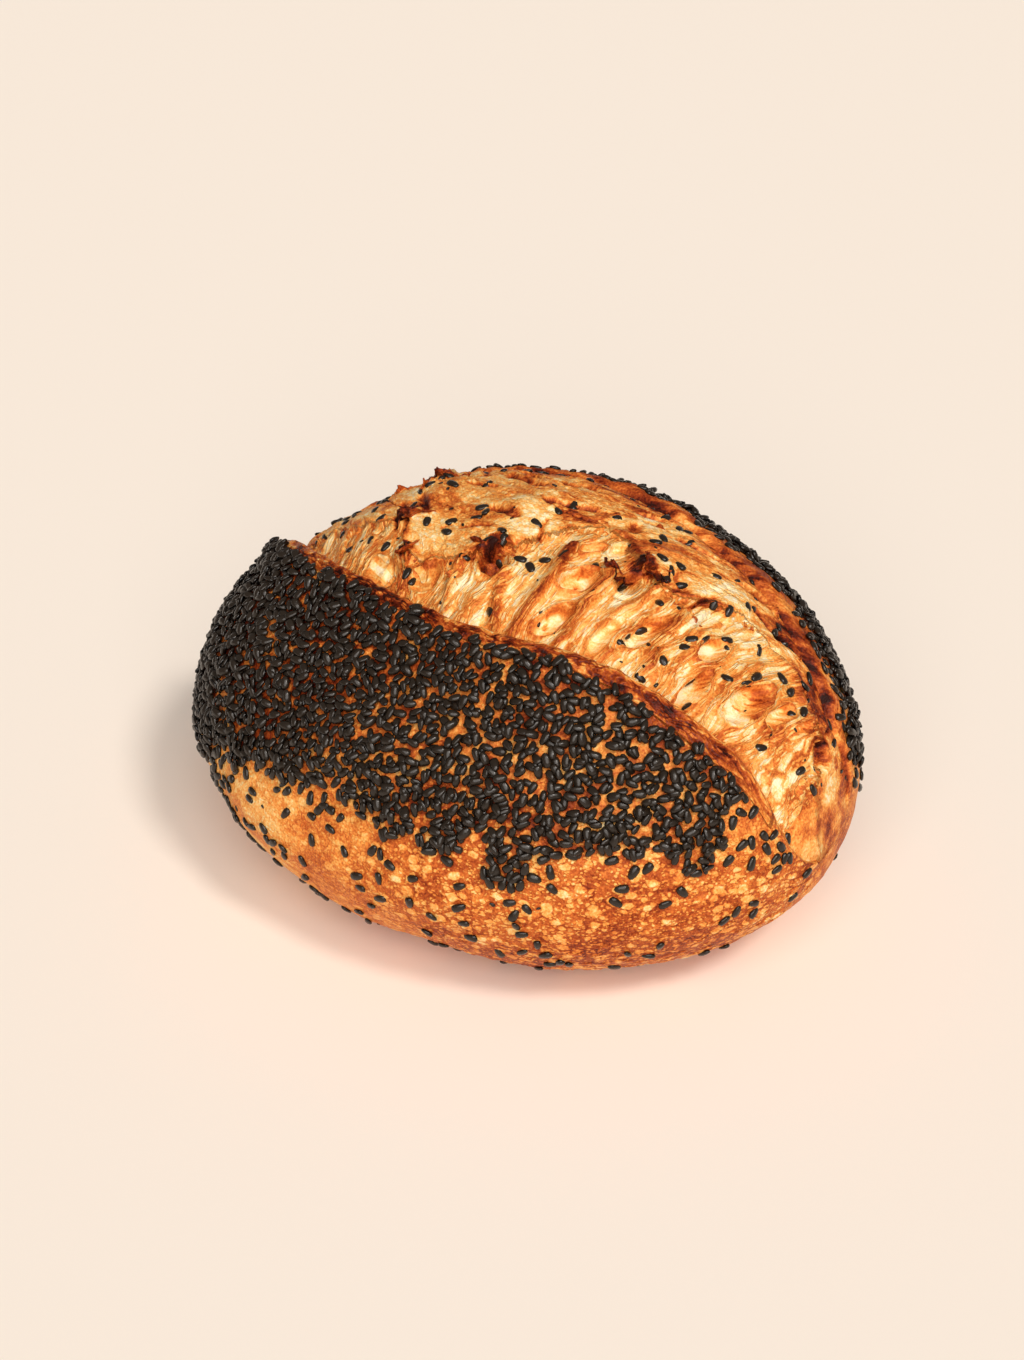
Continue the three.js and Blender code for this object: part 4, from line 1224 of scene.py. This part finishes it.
# %% Planting the seeds
def plant(name, sowing, sinks):
    """A plain mesh of seeds, from the points of a sowing, each sunk into the skin by its own amount."""
    count = len(sowing.spot)
    spot, normal, heading = np.array(sowing.spot), np.array(sowing.normal), np.array(sowing.heading)
    up = normal + np.array(sowing.lean) + sowing.dice.normal(0, 0.11, (count, 3))
    up = up / np.linalg.norm(up, axis=1)[:, None]
    side = np.cross(up, heading)
    side = side / np.linalg.norm(side, axis=1)[:, None]
    ahead = np.cross(side, up)
    centre = spot + normal * (np.array(sowing.lift) + SEED[2] / 2 - sinks)[:, None]
    quats = [Matrix((a, b, c)).transposed().to_quaternion() for a, b, c in zip(ahead, side, up)]
    mesh = bpy.data.meshes.new(name + " points")
    mesh.from_pydata((centre * MM).tolist(), [], [])
    write_values(mesh, {"turned": [list(q) for q in quats], "size": sowing.size,
                        "tone": sowing.dice.random(count)})
    points = put(name + " points", mesh)
    modifier = points.modifiers.new("seeds", "NODES")
    modifier.node_group = seeds
    for item in seeds.interface.items_tree:
        if item.in_out == "INPUT" and item.name == "Material":
            modifier[item.identifier] = sesame_skin
    ready = points.evaluated_get(bpy.context.evaluated_depsgraph_get())
    piece = put(name, bpy.data.meshes.new_from_object(ready))
    bpy.data.objects.remove(points)  # and its modifier with it
    triangles = sum(len(p.vertices) - 2 for p in piece.data.polygons)
    print(name, "has", count, "seeds and", triangles, "triangles")
    return piece


SUNK = 0.2  # a seed of the coat is pressed this far into the dough
sesame_front = plant("sesame_front", front, np.full(len(front.spot), SUNK))
sesame_back = plant("sesame_back", behind, np.full(len(behind.spot), SUNK))
depths = np.concatenate([loose.dice.uniform(0.2, 0.5, crust_strays),
                         loose.dice.uniform(0.35, 0.95, whole_seeds - crust_strays),
                         np.full(len(loose.spot) - whole_seeds, SEED[2] / 2 - 0.05)])
sesame_loose = plant("sesame_loose", loose, depths)

# %% [markdown]
# ## The stage
#
# The photograph was taken on a pale surface in soft light from the right, with a long lens and from a
# little above. Matt uncoated paper scatters light evenly, so one pale colour with hardly any gloss
# makes the floor.

# %% Floor
floor_mesh = bpy.data.meshes.new("floor")
floor_mesh.from_pydata([(-3, -3, 0), (3, -3, 0), (3, 3, 0), (-3, 3, 0)], [], [(0, 1, 2, 3)])
floor = put("floor", floor_mesh)
paper, paper_tree = new_material("Matt cream paper")
paper_face = add(paper_tree, "ShaderNodeBsdfPrincipled", {
    "Base Color": linear("#f9efe5"), "Roughness": 0.9, "Specular IOR Level": 0.1})
add(paper_tree, "ShaderNodeOutputMaterial", {"Surface": paper_face})
floor.data.materials.append(paper)
print("the floor is", round(floor.dimensions.x, 1), "m wide")

# %% Camera
PHOTO = (1024, 1360)  # the picture's width and height in pixels
AIM = Vector((-7.9, -4.3, 40)) * MM  # a point inside the loaf
AIM_PIXEL = (487.3, 713.4)  # where the picture shows that point
CAMERA_DISTANCE = 0.6346  # from that point, in metres
CAMERA_AZIMUTH = math.radians(34)
CAMERA_HEIGHT = math.radians(33)


def towards(azimuth, height):
    """The direction of something seen at this azimuth and height, in radians."""
    level = math.cos(height)
    return Vector((math.sin(azimuth) * level, -math.cos(azimuth) * level, math.sin(height)))


backwards = towards(CAMERA_AZIMUTH, CAMERA_HEIGHT)
rightwards = Vector((math.cos(CAMERA_AZIMUTH), math.sin(CAMERA_AZIMUTH), 0))
upwards = backwards.cross(rightwards)
lens = bpy.data.cameras.new("camera")
lens.lens = 65
lens.sensor_fit = "VERTICAL"
lens.sensor_height = 36
lens.shift_x = -(AIM_PIXEL[0] - PHOTO[0] / 2) / PHOTO[1]
lens.shift_y = (AIM_PIXEL[1] - PHOTO[1] / 2) / PHOTO[1]
lens.clip_start = 0.01
camera = put("camera", lens)
turned = Matrix((rightwards, upwards, backwards)).transposed().to_4x4()
camera.matrix_world = Matrix.Translation(AIM + backwards * CAMERA_DISTANCE) @ turned
bpy.context.scene.camera = camera
print("the camera is at", [round(c, 3) for c in camera.matrix_world.translation])

# %% [markdown]
# A sun 12 degrees wide gives the soft shadows of a window, and one 52 degrees wide stands for a pale wall
# behind the camera. The world does two things: it gives a dim glow from all sides, and where the camera
# sees past the floor, it shows a plain pale wall. A room of white walls would do the same, but noisily.


# %% Light
def soft_sun(name, azimuth, height, energy, angle, code):
    """A far, wide light. The azimuth is degrees to the right of the camera."""
    light = bpy.data.lights.new(name, "SUN")
    light.energy = energy
    light.angle = math.radians(angle)
    light.color = linear(code)[:3]
    source = towards(CAMERA_AZIMUTH + math.radians(azimuth), math.radians(height))
    lamp = put(name, light)
    lamp.rotation_euler = source.to_track_quat("Z", "Y").to_euler()
    print("the", name, "shines from", height, "degrees up")


soft_sun("window", 39, 53, 1.38, 12, "#fff8ef")
soft_sun("reflector", -2, 38, 2.5, 52, "#fffaf4")
world = bpy.data.worlds.new("soft room")
bpy.context.scene.world = world
world.use_nodes = True
room = world.node_tree
room.nodes.clear()
glow = add(room, "ShaderNodeBackground", {"Color": linear("#fff9f2"), "Strength": 0.16})
wall = add(room, "ShaderNodeBackground", {"Color": linear("#f8e8d7"), "Strength": 1})
seen = add(room, "ShaderNodeLightPath").outputs["Is Camera Ray"]
both = add(room, "ShaderNodeMixShader", {0: seen, 1: glow, 2: wall})
add(room, "ShaderNodeOutputWorld", {"Surface": both})
bpy.context.scene.view_settings.view_transform = "Standard"

# %% [markdown]
# ## Hand over
# The loaf doesn't move, so every piece rides on its one body, and the imported solid is hidden. The crust
# stands for the whole solid, and
# the sizes of the solid and of the finished loaf are written down, to be compared.

# %% Hand over
for piece in (crust, bloom, flakes):
    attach(piece, "root")
for piece in (sesame_front, sesame_back, sesame_loose):
    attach(piece, "root")
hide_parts("loaf")
